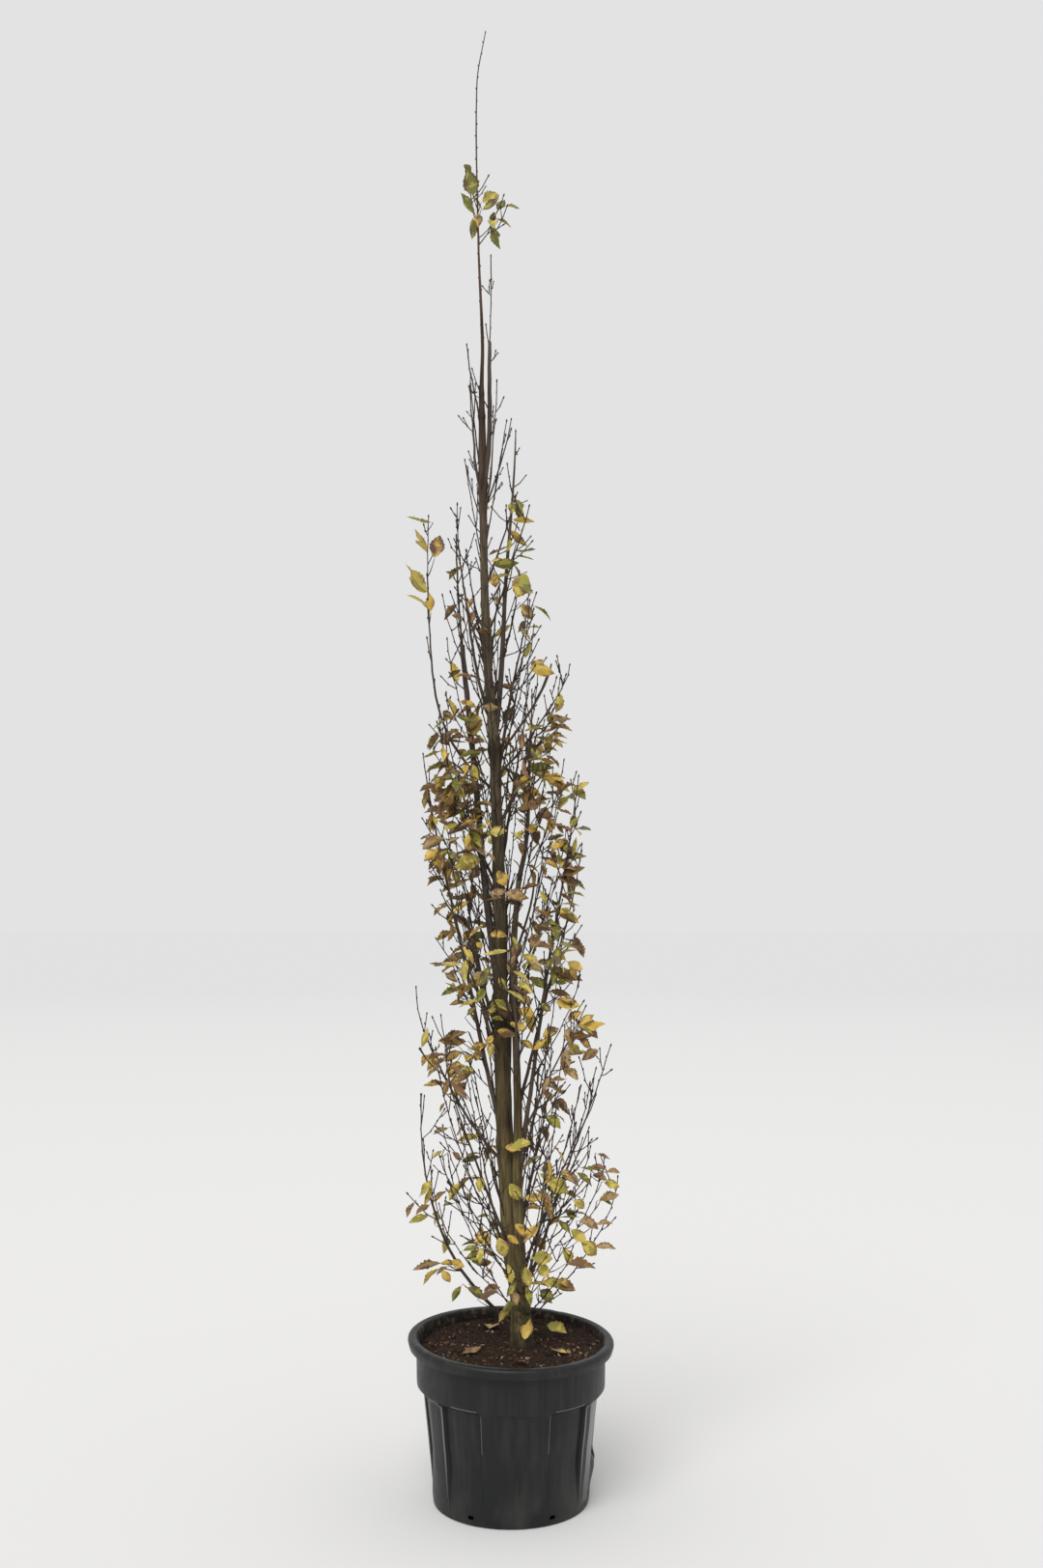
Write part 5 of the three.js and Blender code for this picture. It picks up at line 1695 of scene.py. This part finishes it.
# Leaves on short spurs at the front, placed one by one: place of the stalk's foot, heading, pitch and
# roll in degrees, length and tint
SPURS_FOOT = [
    ((46, -60, 640), 0, -8, 84, 60, "lime"), ((68, -52, 625), 0, -55, 78, 46, "lime"),
    ((-15, -60, 697), 0, -35, 78, 38, "gold"), ((-35, -52, 692), 0, -70, 84, 58, "butter"),
    ((-60, -46, 690), 180, -30, 74, 36, "gold"), ((5, -62, 726), 0, -38, 72, 54, "gold"),
    ((-7, -60, 832), 0, -56, 84, 56, "lime"), ((31, -62, 790), 0, -5, 60, 44, "gold"),
    ((61, -50, 792), 4, -12, 70, 48, "gold"), ((99, -30, 838), 0, -36, 74, 60, "lime"),
    ((-22, -52, 920), 0, -12, 50, 42, "gold"), ((73, -44, 565), 0, 4, 42, 62, "lime"),
    ((104, -32, 568), -6, -14, 46, 64, "bronze"), ((71, -36, 550), 0, -34, 50, 44, "olive"),
    ((3, -58, 513), 180, -48, 78, 48, "lime"), ((23, -60, 522), 184, -24, 60, 44, "olive"),
    ((3, -98, 566), 0, -74, 60, 38, "tan"), ((-73, -30, 665), 180, 4, 40, 52, "olive"),
    ((-60, -36, 640), 184, -6, 50, 54, "olive"), ((-43, -40, 620), 180, -12, 60, 40, "brown"),
    ((-111, -10, 555), 0, -50, 80, 40, "olive"), ((-78, -20, 540), 0, 12, 60, 44, "brown"),
]
SPURS_MIDDLE = [
    ((-49, -54, 1370), 182, -12, 86, 60, "butter"), ((-54, -56, 1376), 190, -42, 80, 46, "butter"),
    ((-36, -54, 1372), 0, -60, 86, 42, "lime"), ((-64, -48, 1472), 0, 8, 50, 48, "gold"),
    ((28, -54, 1462), 180, -70, 80, 48, "brown"), ((15, -56, 1428), 190, -66, 74, 50, "tan"),
    ((-46, -52, 1308), 180, -75, 86, 38, "lime"), ((-36, -54, 1303), 0, -38, 70, 40, "olive"),
    ((-59, -46, 1290), 180, -78, 86, 36, "olive"), ((20, -54, 1318), 0, -30, 60, 36, "bronze"),
    ((20, -54, 1285), 0, -28, 80, 42, "gold"), ((23, -56, 1210), 180, 10, 56, 52, "russet"),
    ((-44, -52, 1222), 0, 0, 46, 48, "bronze"), ((0, -56, 1242), 0, -18, 70, 38, "gold"),
    ((66, -40, 1172), 180, 35, 70, 44, "gold"), ((68, -40, 1172), 0, 38, 70, 44, "gold"),
    ((-39, -54, 1653), 0, -60, 80, 48, "bronze"), ((-62, -50, 1585), 0, 12, 60, 48, "tan"),
    ((-21, -52, 1587), 0, -8, 60, 64, "tan"), ((-64, -46, 1749), 0, 5, 76, 46, "lime"),
    ((-85, -42, 1744), 200, -50, 80, 52, "gold"), ((-92, -40, 1880), 180, 80, 84, 48, "lime"),
]
SPURS_HIGH = [
    ((-92, -34, 2009), 180, 76, 80, 64, "lime"), ((-27, -44, 2085), 180, 0, 50, 46, "tan"),
    ((-45, -36, 2296), 180, 4, 40, 38, "brown"), ((43, -30, 2460), 180, -68, 84, 72, "lime"),
    ((15, -30, 2432), 0, -40, 72, 50, "olive"), ((23, -30, 2375), 0, -50, 70, 52, "bronze"),
    ((-50, -34, 2462), 0, -80, 80, 40, "bronze"),
]
SPURS_STRAY = [
    ((-215, 5, 2603), 180, 5, 6, 72, "lime"), ((-212, 5, 2500), 0, 78, 84, 66, "bronze"),
    ((-226, 5, 2405), 180, 44, 40, 64, "lime"), ((-220, 0, 2350), 270, 80, 30, 50, "gold"),
]
SPURS_TIP = [
    ((-105, -4, 3520), 180, 78, 86, 74, "olive"), ((-108, -2, 3590), 180, 52, 40, 28, "olive"),
    ((-98, -4, 3470), 180, 50, 26, 72, "olive"), ((-93, -10, 3478), 270, -74, 10, 44, "bronze"),
    ((-86, -6, 3502), 0, 34, 80, 56, "lime"), ((-86, -8, 3480), -8, 28, 70, 54, "olive"),
    ((-42, -12, 3474), 20, 60, 60, 42, "olive"), ((-30, -14, 3488), 0, 8, 22, 46, "lime"),
    ((-58, -10, 3436), 30, 74, 60, 36, "olive"),
]
# More of them, read off enlarged parts of the photo. Each part: its left and top edge in the
# photo's pixels, and how much it was enlarged. Each leaf: the base and the tip of its blade in pixels
# of the enlarged part, depth in millimetres, roll and tint, and last, where it was moved in towards
# the trunk to stay in the solids' box, how far
READ_LOW = ((400, 1100, 3.4), [
    (190, 708, 95, 755, -30, 30, "tan"), (185, 728, 122, 776, -36, 40, "gold"),
    (196, 732, 226, 778, -40, 84, "gold"), (228, 700, 275, 724, -30, 60, "gold"),
    (262, 790, 228, 842, -40, 70, "olive"), (285, 795, 352, 836, -30, 44, "olive"),
    (330, 832, 402, 812, -44, 36, "brown"), (272, 664, 330, 645, -40, 34, "olive"),
    (97, 495, 68, 548, -10, 40, "tan"), (150, 503, 104, 545, -10, 50, "tan"),
    (212, 455, 160, 490, -20, 40, "bronze"), (262, 428, 212, 482, -20, 60, "lime"),
    (236, 498, 198, 512, -20, 40, "olive"), (196, 312, 158, 340, -10, 60, "lime"),
    (232, 318, 266, 346, -20, 50, "russet"), (216, 233, 165, 262, -10, 40, "tan"),
    (205, 143, 186, 178, -10, 50, "tan"), (300, 405, 245, 440, -20, 30, "russet"),
    (722, 368, 776, 382, -20, 30, "russet"), (745, 324, 792, 342, -20, 30, "russet"),
    (815, 386, 866, 378, -20, 26, "tan", 30), (783, 424, 836, 442, -20, 60, "lime", 10),
    (728, 398, 782, 416, -30, 36, "brown"), (610, 388, 690, 410, -40, 30, "tan"),
    (568, 415, 642, 462, -50, 70, "lime"), (660, 488, 706, 512, -40, 60, "lime"),
    (765, 488, 800, 502, -20, 40, "olive"), (788, 486, 860, 468, -20, 30, "tan", 28),
    (680, 562, 756, 576, -40, 30, "tan"), (740, 572, 800, 560, -30, 28, "tan"),
    (652, 590, 706, 642, -40, 70, "lime"), (688, 632, 748, 682, -40, 70, "lime"),
    (735, 652, 812, 648, -30, 28, "tan"), (640, 712, 742, 724, -40, 28, "russet"),
    (622, 660, 658, 712, -40, 50, "lime"), (538, 820, 590, 846, -50, 40, "olive"),
    (626, 26, 686, 56, -30, 56, "lime"), (562, 192, 622, 232, -50, 60, "olive"),
    (556, 98, 586, 140, -50, 70, "russet"),
])
READ_MIDDLE = ((400, 820, 3.4), [
    (690, 828, 776, 830, -60, 40, "gold"), (680, 820, 730, 776, -60, 50, "gold"),
    (640, 800, 690, 768, -60, 50, "bronze"), (600, 740, 686, 768, -50, 44, "gold"),
    (612, 728, 684, 742, -50, 30, "bronze"), (590, 560, 634, 592, -40, 80, "lime"),
    (640, 600, 692, 632, -30, 60, "gold"), (655, 548, 698, 558, -20, 30, "russet"),
    (600, 300, 680, 330, -30, 30, "brown"), (620, 292, 706, 276, -30, 34, "brown"),
    (612, 268, 690, 272, -30, 24, "tan"), (630, 430, 680, 462, -30, 60, "bronze"),
    (600, 190, 664, 214, -30, 40, "bronze"), (232, 420, 288, 380, -40, 60, "gold"),
    (220, 400, 180, 390, -30, 40, "tan"), (250, 670, 200, 640, -30, 40, "tan"),
    (240, 690, 232, 668, -40, 80, "bronze"), (290, 690, 240, 680, -40, 60, "bronze"),
    (280, 880, 184, 890, -30, 34, "bronze"), (270, 918, 190, 938, -30, 40, "gold"),
    (180, 210, 126, 240, -20, 60, "olive"), (170, 180, 118, 192, -20, 30, "russet"),
    (330, 240, 235, 262, -50, 50, "lime"),
])
READ_TRUNK_LOW = ((450, 960, 9.5), [
    (240, 310, 80, 400, -40, 50, "bronze"), (240, 430, 110, 490, -40, 34, "tan"),
    (405, 160, 480, 200, -50, 70, "gold"), (830, 800, 930, 880, -52, 84, "gold"),
    (840, 690, 880, 760, -52, 80, "gold"), (850, 640, 960, 640, -50, 40, "russet"),
    (560, 745, 590, 850, -54, 84, "lime"), (590, 720, 740, 830, -54, 44, "lime"),
    (620, 800, 740, 880, -52, 60, "russet"), (480, 790, 520, 910, -50, 84, "olive"),
    (320, 870, 420, 780, -50, 34, "olive"), (560, 900, 690, 895, -54, 30, "olive"),
    (740, 945, 870, 1000, -56, 60, "gold"), (500, 1150, 350, 1215, -54, 50, "bronze"),
    (500, 1140, 580, 1080, -54, 60, "gold"), (530, 1140, 555, 1280, -52, 80, "lime"),
    (300, 1040, 100, 1110, -30, 34, "olive"), (230, 1370, 110, 1440, -44, 80, "gold"),
    (220, 1400, 180, 1490, -44, 80, "gold"), (290, 1380, 370, 1430, -44, 60, "lime"),
    (290, 1260, 370, 1330, -40, 60, "bronze"), (890, 1130, 985, 1210, -52, 44, "gold"),
    (980, 1205, 1130, 1100, -52, 44, "gold"), (1070, 1080, 1220, 980, -50, 50, "bronze"),
    (1330, 380, 1400, 520, -30, 70, "gold"), (1190, 540, 1310, 560, -40, 60, "olive"),
    (1050, 760, 1150, 830, -44, 70, "olive"), (1340, 1150, 1450, 1230, -50, 60, "lime"),
    (1280, 1230, 1470, 1270, -50, 36, "tan"), (1420, 1100, 1560, 1210, -50, 44, "bronze"),
])
READ_TRUNK_HIGH = ((450, 800, 9.5), [
    (180, 130, 300, 240, -40, 60, "lime"), (30, 40, 100, 150, -30, 80, "olive"),
    (190, 210, 120, 400, -40, 80, "bronze"), (130, 490, 240, 510, -40, 50, "bronze"),
    (240, 450, 360, 500, -44, 60, "tan"), (160, 430, 10, 440, -30, 50, "gold"),
    (240, 640, 120, 710, -40, 40, "tan"), (140, 800, 200, 910, -40, 80, "olive"),
    (280, 800, 420, 900, -44, 80, "olive"), (20, 760, 130, 790, -30, 80, "olive"),
    (500, 470, 560, 530, -52, 70, "gold"), (530, 640, 560, 710, -52, 80, "lime"),
    (510, 790, 610, 870, -54, 40, "tan"), (660, 1230, 500, 1270, -52, 30, "tan"),
    (790, 80, 830, 190, -46, 80, "russet"), (820, 340, 880, 390, -46, 70, "bronze"),
    (830, 460, 900, 500, -46, 60, "olive"), (890, 560, 1030, 550, -50, 40, "gold"),
    (780, 600, 880, 650, -50, 80, "lime"), (850, 680, 880, 800, -48, 70, "russet"),
    (1130, 450, 1150, 600, -40, 70, "bronze"), (1200, 520, 1280, 600, -36, 60, "brown"),
    (1200, 660, 1300, 710, -40, 50, "bronze"), (1090, 880, 1240, 930, -40, 50, "bronze"),
    (1040, 1170, 1110, 1290, -44, 60, "lime"), (1010, 1370, 1170, 1400, -44, 50, "bronze"),
    (1220, 1360, 1360, 1390, -40, 60, "gold"), (1090, 1470, 1210, 1500, -40, 50, "olive"),
])
READ_LEFT_LOW = ((440, 1020, 8), [
    (340, 395, 185, 430, -40, 34, "tan"), (230, 440, 105, 488, -40, 34, "brown"),
    (250, 512, 145, 552, -36, 30, "brown"), (300, 560, 145, 618, -40, 56, "bronze"),
    (330, 680, 172, 695, -44, 64, "gold"), (262, 715, 200, 775, -44, 80, "gold"),
    (400, 590, 322, 640, -44, 64, "lime"), (380, 522, 515, 500, -46, 50, "bronze"),
    (560, 420, 508, 510, -52, 74, "gold"), (570, 495, 525, 605, -52, 74, "lime"),
    (340, 680, 405, 748, -44, 60, "olive"), (430, 520, 430, 640, -46, 64, "bronze"),
    (110, 685, 5, 755, -30, 40, "tan"),
])
READ_LEFT_HIGH = ((430, 790, 7.3), [
    (270, 182, 385, 265, -96, 74, "lime"), (230, 100, 150, 185, -96, 64, "gold"),
    (150, 165, 22, 205, -96, 44, "russet"), (290, 250, 215, 370, -96, 64, "bronze"),
    (210, 575, 38, 630, -96, 44, "tan"), (250, 600, 332, 560, -96, 40, "tan"),
    (400, 540, 390, 655, -96, 86, "gold"), (170, 660, 60, 735, -96, 70, "gold"),
    (240, 660, 180, 715, -96, 60, "olive"), (250, 670, 320, 750, -96, 70, "olive"),
    (345, 700, 410, 775, -96, 70, "lime"), (470, 440, 330, 470, -96, 50, "bronze"),
    (430, 690, 480, 765, -96, 60, "olive"), (770, 130, 775, 215, -46, 64, "russet"),
    (830, 520, 745, 558, -46, 60, "gold"), (850, 490, 945, 490, -44, 40, "gold"),
    (770, 342, 820, 368, -46, 60, "gold"), (780, 610, 830, 722, -40, 64, "bronze"),
    (130, 400, 160, 475, -96, 60, "lime"), (260, 395, 180, 440, -96, 40, "gold"),
])
READ_FOOT = ((400, 1100, 3.4), [
    (425, 712, 442, 790, -108, 88, "butter"), (490, 722, 507, 796, -108, 88, "lime"),
    (300, 700, 340, 712, -40, 40, "olive"), (345, 662, 380, 682, -40, 50, "brown"),
    (285, 690, 325, 702, -40, 40, "olive"), (240, 712, 190, 705, -36, 50, "bronze"),
    (215, 722, 170, 745, -36, 50, "tan"), (338, 582, 328, 628, -44, 70, "gold"),
    (355, 602, 345, 652, -44, 80, "gold"), (348, 730, 380, 742, -40, 50, "brown"),
    (560, 700, 548, 752, -54, 60, "lime"), (600, 772, 655, 785, -40, 40, "bronze"),
])
READ_HIGH = ((400, 560, 3.4), [
    (575, 655, 662, 655, -30, 26, "russet"), (590, 635, 655, 632, -30, 40, "russet"),
    (570, 690, 640, 678, -30, 26, "bronze"), (580, 700, 628, 724, -30, 44, "bronze"),
    (575, 845, 645, 892, -30, 36, "gold"), (560, 830, 640, 850, -30, 34, "gold"),
    (530, 800, 600, 860, -30, 50, "bronze"), (670, 880, 718, 850, -10, 44, "lime"),
    (512, 455, 552, 410, -40, 60, "bronze"), (262, 455, 210, 482, -40, 40, "olive"),
    (262, 268, 228, 262, -30, 50, "russet"), (290, 235, 300, 196, -40, 60, "bronze"),
])
# How much broader the leaves listed one by one are drawn
BROAD = 1.4
# Leaves on the soil, in the same form
FALLEN = [((34, -50, 416), 62, 58, 12, 56, "gold"), ((92, 66, 432), -30, -6, 30, 58, "lime"),
          ((-130, -105, 401), 30, 4, 0, 55, "brown"), ((150, -100, 401), 140, 3, 0, 52, "bronze"),
          ((-60, 120, 402), 80, 6, 0, 60, "tan"), ((10, -150, 400), -60, 5, 0, 48, "brown")]


def photo_place(px, py, depth):
    """Sideways place and height of a pixel of the photo, as the camera sees it at this depth."""
    tilt, rise = math.radians(CAMERA_TILT), (PHOTO[1] / 2 - py) / FOCAL
    away = depth - CAMERA_PLACE[1]
    up = away * (math.sin(tilt) + rise * math.cos(tilt)) / (math.cos(tilt) - rise * math.sin(tilt))
    forward = away * math.cos(tilt) + up * math.sin(tilt)
    return CAMERA_PLACE[0] + (px - PHOTO[0] / 2) * forward / FOCAL, CAMERA_PLACE[2] + up


def leaves_read(part, readings):
    """Leaves read off a part of the photo, as rows like those of SPURS_FOOT in whole millimetres."""
    left, top, enlarged = part
    rows = []
    for base_x, base_y, tip_x, tip_y, depth, roll, name, *inward in readings:
        base = photo_place(left + base_x / enlarged, top + base_y / enlarged, depth)
        tip = photo_place(left + tip_x / enlarged, top + tip_y / enlarged, depth)
        across, rise = tip[0] - base[0], tip[1] - base[1]
        size = math.hypot(across, rise)
        x, z = int(base[0] - across / size * STALK), int(base[1] - rise / size * STALK)
        pitch = int(math.degrees(math.atan2(rise, abs(across))))
        rows.append(((x - sum(inward), depth, z), 0 if across > 0 else 180, pitch, roll, int(size), name))
    return rows


# Each leaf's shape is dealt by its place in this list
SPURS = [*SPURS_FOOT, *leaves_read(*READ_LOW), *SPURS_MIDDLE, *leaves_read(*READ_MIDDLE),
         *leaves_read(*READ_TRUNK_LOW), *leaves_read(*READ_TRUNK_HIGH), *leaves_read(*READ_LEFT_LOW),
         *leaves_read(*READ_LEFT_HIGH), *leaves_read(*READ_FOOT), *leaves_read(*READ_HIGH),
         *SPURS_HIGH, *SPURS_STRAY, *SPURS_TIP]


def tint_for(leaf, draw):
    """A leaf's tint: most leaves of a spray share one, and its neighbours' tints come in."""
    pick = seeded(leaf.spray)() if draw() < 0.5 else draw()
    shares = next(mix for top, mix in MIXTURES if leaf.root[2] <= top)
    if leaf.stray:
        shares = STRAY_MIXTURE
    for name, part in zip(TINTS, shares):
        if pick < part:
            return name
        pick -= part
    return "bronze"


def held(leaf):
    """How a leaf is drawn: nearer to level than its solid, and its blade rolled the same."""
    pitch, level = math.asin(leaf.along[2]), unit(np.cross(UP, leaf.along))
    roll = math.atan2(leaf.across @ np.cross(leaf.along, level), leaf.across @ level)
    pitch = pitch * LEAF_LIFT[0] + math.radians(LEAF_LIFT[1] - LEAF_LIFT[2] * leaf.along[1] ** 2)
    if leaf.stray:
        pitch, roll = math.radians(STRAY_PITCH) + 0.3 * pitch, 0.4 * roll
    return blade_axes(math.atan2(leaf.along[1], leaf.along[0]), pitch, roll)


def leaf_shape(root, along, across, length, draw, dry, settings, broad=1.0):
    """The blade of a leaf: toothed, folded at its midrib, pleated along its veins and bent."""
    normal = np.cross(along, across)
    fold = settings.fold + math.radians(FOLD_MORE[0] * draw() + FOLD_MORE[1] * dry * draw())
    bend = settings.curl * (BEND[0] + BEND[1] * draw() + BEND[2] * dry * draw())
    if draw() < BENT_UP[0]:
        bend *= BENT_UP[1]
    bend = bend if abs(bend) > 0.01 else 0.01
    twist = math.radians(TWIST) * (draw() - 0.5) * (1 + dry)
    half = length * LEAF_WIDTH_SHARE / 2 * chance(draw, DRAWN_WIDTH) * broad
    pleat = half * (PLEAT[0] + PLEAT[1] * dry)
    ripple, phase = half * (RIPPLE[0] + RIPPLE[1] * dry), 6.3 * draw()
    points = []
    for i, (u, width) in enumerate(LEAF_ROWS):
        turn = twist * u
        for v in LEAF_COLUMNS:
            forward = (u + VEIN_SWEEP * abs(v) * (1 - u) * min(1, 6 * u)) * length
            angle = bend * forward / length
            ahead, drop = length * math.sin(angle) / bend, -length * (1 - math.cos(angle)) / bend
            rise = along * math.sin(angle) + normal * math.cos(angle)
            side = across * math.cos(turn) + rise * math.sin(turn)
            lift = rise * math.cos(turn) - across * math.sin(turn)
            size = width * half * v
            if abs(v) == 1:
                size *= 1 + settings.tooth * (1 if i % 2 else -1)
            high = abs(size) * math.sin(fold) + (pleat * (1 if i % 2 else -1) * width if v else 0)
            high += ripple * v * abs(v) * width * math.sin(9 * u + phase + (2 if v > 0 else 0))
            points.append(root + along * ahead + normal * drop + side * size * math.cos(fold)
                          + lift * high)
    return points


def leaf_faces(dry, draw):
    """The faces of a blade, and which of them are scorched or have turned to the next tint."""
    columns = len(LEAF_COLUMNS)
    faces = ring_faces(len(LEAF_ROWS), columns, closed=False)
    scorch, turned_part, seed = draw(), draw(), 40 * draw()
    tip = 0.45 + 0.5 * draw()
    finishes = []
    for i in range(len(LEAF_ROWS) - 1):
        for j in range(columns - 1):
            u, margin = LEAF_ROWS[i][0], abs(j - (columns - 2) / 2) / ((columns - 2) / 2)
            patch = noisy((u * 3.1, j * 0.45, seed), 1)
            burnt = 0.5 * margin ** 3 + 0.9 * max(0, u - tip) + 0.7 * patch > 0.62 - 0.5 * scorch
            other = patch < 0.25 * turned_part - 0.28
            finishes.append(1 if burnt and u > 0.08 else 3 if other else 0)
    return faces, finishes


def add_stalk(build, start, blade, along):
    stalk = np.array([start, (start + blade) / 2 + UP * 1.2, blade + along * 2])
    build.add(*tube(stalk, np.array([0.8, 0.6, 0.55]), 3), 2)


def draw_leaf(build, leaf, settings, dry):
    draw = seeded(leaf.seed)
    start = leaf.shoot.place(leaf.share)
    along, across = held(leaf)
    blade = start + along * STALK
    points = leaf_shape(blade, along, across, leaf.length, draw, dry, settings)
    build.add(points, *leaf_faces(dry, draw))
    add_stalk(build, start, blade, along)


def build_leaves(settings):
    finishes = {name: leaf_finish(f"leaf_{name}", getattr(settings, name)) for name in TINTS}
    stalk = leaf_finish("leaf_stalk", settings.russet)
    builds = {name: Build() for name in TINTS}
    for leaf in crown()["leaves"]:
        draw = seeded(leaf.seed + 11)
        name = tint_for(leaf, draw)
        draw_leaf(builds[name], leaf, settings, DRYNESS.get(name, 0))
    for k, (place, heading, pitch, roll, size, name) in enumerate(SPURS + FALLEN):
        root = np.array(place, float)
        along, across = blade_axes(*(math.radians(angle) for angle in (heading, pitch, roll)))
        draw = seeded(SPUR_SEED[0] + SPUR_SEED[1] * k)
        points = leaf_shape(root + along * STALK, along, across, size, draw, 0, settings, BROAD)
        builds[name].add(points, *leaf_faces(0, draw))
        add_stalk(builds[name], root, root + along * STALK, along)
    for name, build in builds.items():
        if build.points:
            edge, other = TINTS[name]
            materials = [finishes[name], finishes[edge], stalk, finishes[other]]
            build.piece(f"leaves_{name}", materials, "autumn_foliage", mass_nodes())


# Stage

# The floor's reach from its middle in metres, and how the key light is turned, in degrees
FLOOR_REACH = 60.0
LIGHT_TURN = (38, -16, 0)


def build_stage(settings):
    corners = [(x * FLOOR_REACH, y * FLOOR_REACH, 0) for x, y in ((-1, -1), (1, -1), (1, 1), (-1, 1))]
    floor = add_object("floor", corners, [[0, 1, 2, 3]])
    nodes = Finish("floor_paint", settings.floor, 0.9, 0.0)
    # Painted shade: the floor darkens with distance from 3 to 22 metres, towards the far tone
    far = nodes.ramp(nodes.distance(3, 22), [(0, settings.floor), (1, settings.far)])
    nodes.paint(far)
    floor.data.materials.append(nodes.material)
    world = bpy.data.worlds.new("backdrop")
    bpy.context.scene.world = world
    world.use_nodes = True
    sky = world.node_tree.nodes["Background"]
    sky.inputs["Color"].default_value = (*settings.sky, 1)
    sky.inputs["Strength"].default_value = 1.0
    lamp = bpy.data.lights.new("key_light", "SUN")
    lamp.energy, lamp.angle = settings.sun, settings.softness
    light = bpy.data.objects.new("key_light", lamp)
    light.rotation_euler = [math.radians(angle) for angle in LIGHT_TURN]
    link(light)
    camera = bpy.data.cameras.new("camera")
    camera.lens, camera.sensor_width, camera.sensor_fit = LENS, SENSOR, "AUTO"
    camera.clip_end = 100
    view = bpy.data.objects.new("camera", camera)
    view.location = [part * MM for part in CAMERA_PLACE]
    view.rotation_euler = (math.radians(90 + CAMERA_TILT), 0, 0)
    link(view)
    bpy.context.scene.camera = view
    bpy.context.scene.view_settings.view_transform = "Standard"


# Operators, one for each piece or group of like pieces

class HORNBEAM_OT_pot(bpy.types.Operator):
    """Mould the pot with its bead, collar, panels, buckle and drain slots"""

    bl_idname = "hornbeam.pot"
    bl_label = "Pot"

    def execute(self, context):
        build_pot(context.scene.hornbeam.pot)
        return {"FINISHED"}


class HORNBEAM_OT_soil(bpy.types.Operator):
    """Fill the pot with growing mix, chips and grit"""

    bl_idname = "hornbeam.soil"
    bl_label = "Soil and chips"

    def execute(self, context):
        build_soil(context.scene.hornbeam.pot)
        return {"FINISHED"}


class HORNBEAM_OT_trunk(bpy.types.Operator):
    """Raise the trunk and the second stem with the relief of their bark"""

    bl_idname = "hornbeam.trunk"
    bl_label = "Trunk and second stem"

    def execute(self, context):
        build_trunk(context.scene.hornbeam.bark)
        return {"FINISHED"}


class HORNBEAM_OT_limbs(bpy.types.Operator):
    """Grow the main limbs"""

    bl_idname = "hornbeam.limbs"
    bl_label = "Limbs"

    def execute(self, context):
        build_limbs(context.scene.hornbeam.bark)
        return {"FINISHED"}


class HORNBEAM_OT_twigs(bpy.types.Operator):
    """Grow the twigs and their buds"""

    bl_idname = "hornbeam.twigs"
    bl_label = "Twigs and buds"

    def execute(self, context):
        build_twigs(context.scene.hornbeam.bark)
        build_buds(context.scene.hornbeam.bark)
        return {"FINISHED"}


class HORNBEAM_OT_leaves(bpy.types.Operator):
    """Hang the autumn leaves"""

    bl_idname = "hornbeam.leaves"
    bl_label = "Leaves"

    def execute(self, context):
        build_leaves(context.scene.hornbeam.leaf)
        return {"FINISHED"}


class HORNBEAM_OT_stage(bpy.types.Operator):
    """Set up the floor, the light and the camera"""

    bl_idname = "hornbeam.stage"
    bl_label = "Stage"

    def execute(self, context):
        build_stage(context.scene.hornbeam.light)
        return {"FINISHED"}


class HORNBEAM_PT_panel(bpy.types.Panel):
    """Lists the steps that make the potted hornbeam"""

    bl_idname = "HORNBEAM_PT_panel"
    bl_label = "Potted Hornbeam"
    bl_space_type = "VIEW_3D"
    bl_region_type = "UI"
    bl_category = "Hornbeam"

    def draw(self, context):
        for operator in OPERATORS:
            self.layout.operator(operator.bl_idname)


OPERATORS = (HORNBEAM_OT_stage, HORNBEAM_OT_pot, HORNBEAM_OT_soil, HORNBEAM_OT_trunk,
             HORNBEAM_OT_limbs, HORNBEAM_OT_twigs, HORNBEAM_OT_leaves)
CLASSES = (HornbeamPotSettings, HornbeamBarkSettings, HornbeamLeafSettings, HornbeamLightSettings,
           HornbeamSettings, *OPERATORS, HORNBEAM_PT_panel)


def register():
    for each in CLASSES:
        bpy.utils.register_class(each)
    bpy.types.Scene.hornbeam = bpy.props.PointerProperty(type=HornbeamSettings)


def unregister():
    del bpy.types.Scene.hornbeam
    for each in reversed(CLASSES):
        bpy.utils.unregister_class(each)


def main():
    register()
    bpy.ops.hornbeam.stage()
    bpy.ops.hornbeam.pot()
    bpy.ops.hornbeam.soil()
    bpy.ops.hornbeam.trunk()
    bpy.ops.hornbeam.limbs()
    bpy.ops.hornbeam.twigs()
    bpy.ops.hornbeam.leaves()
    bpy.context.view_layer.update()


if __name__ == "__main__":
    main()
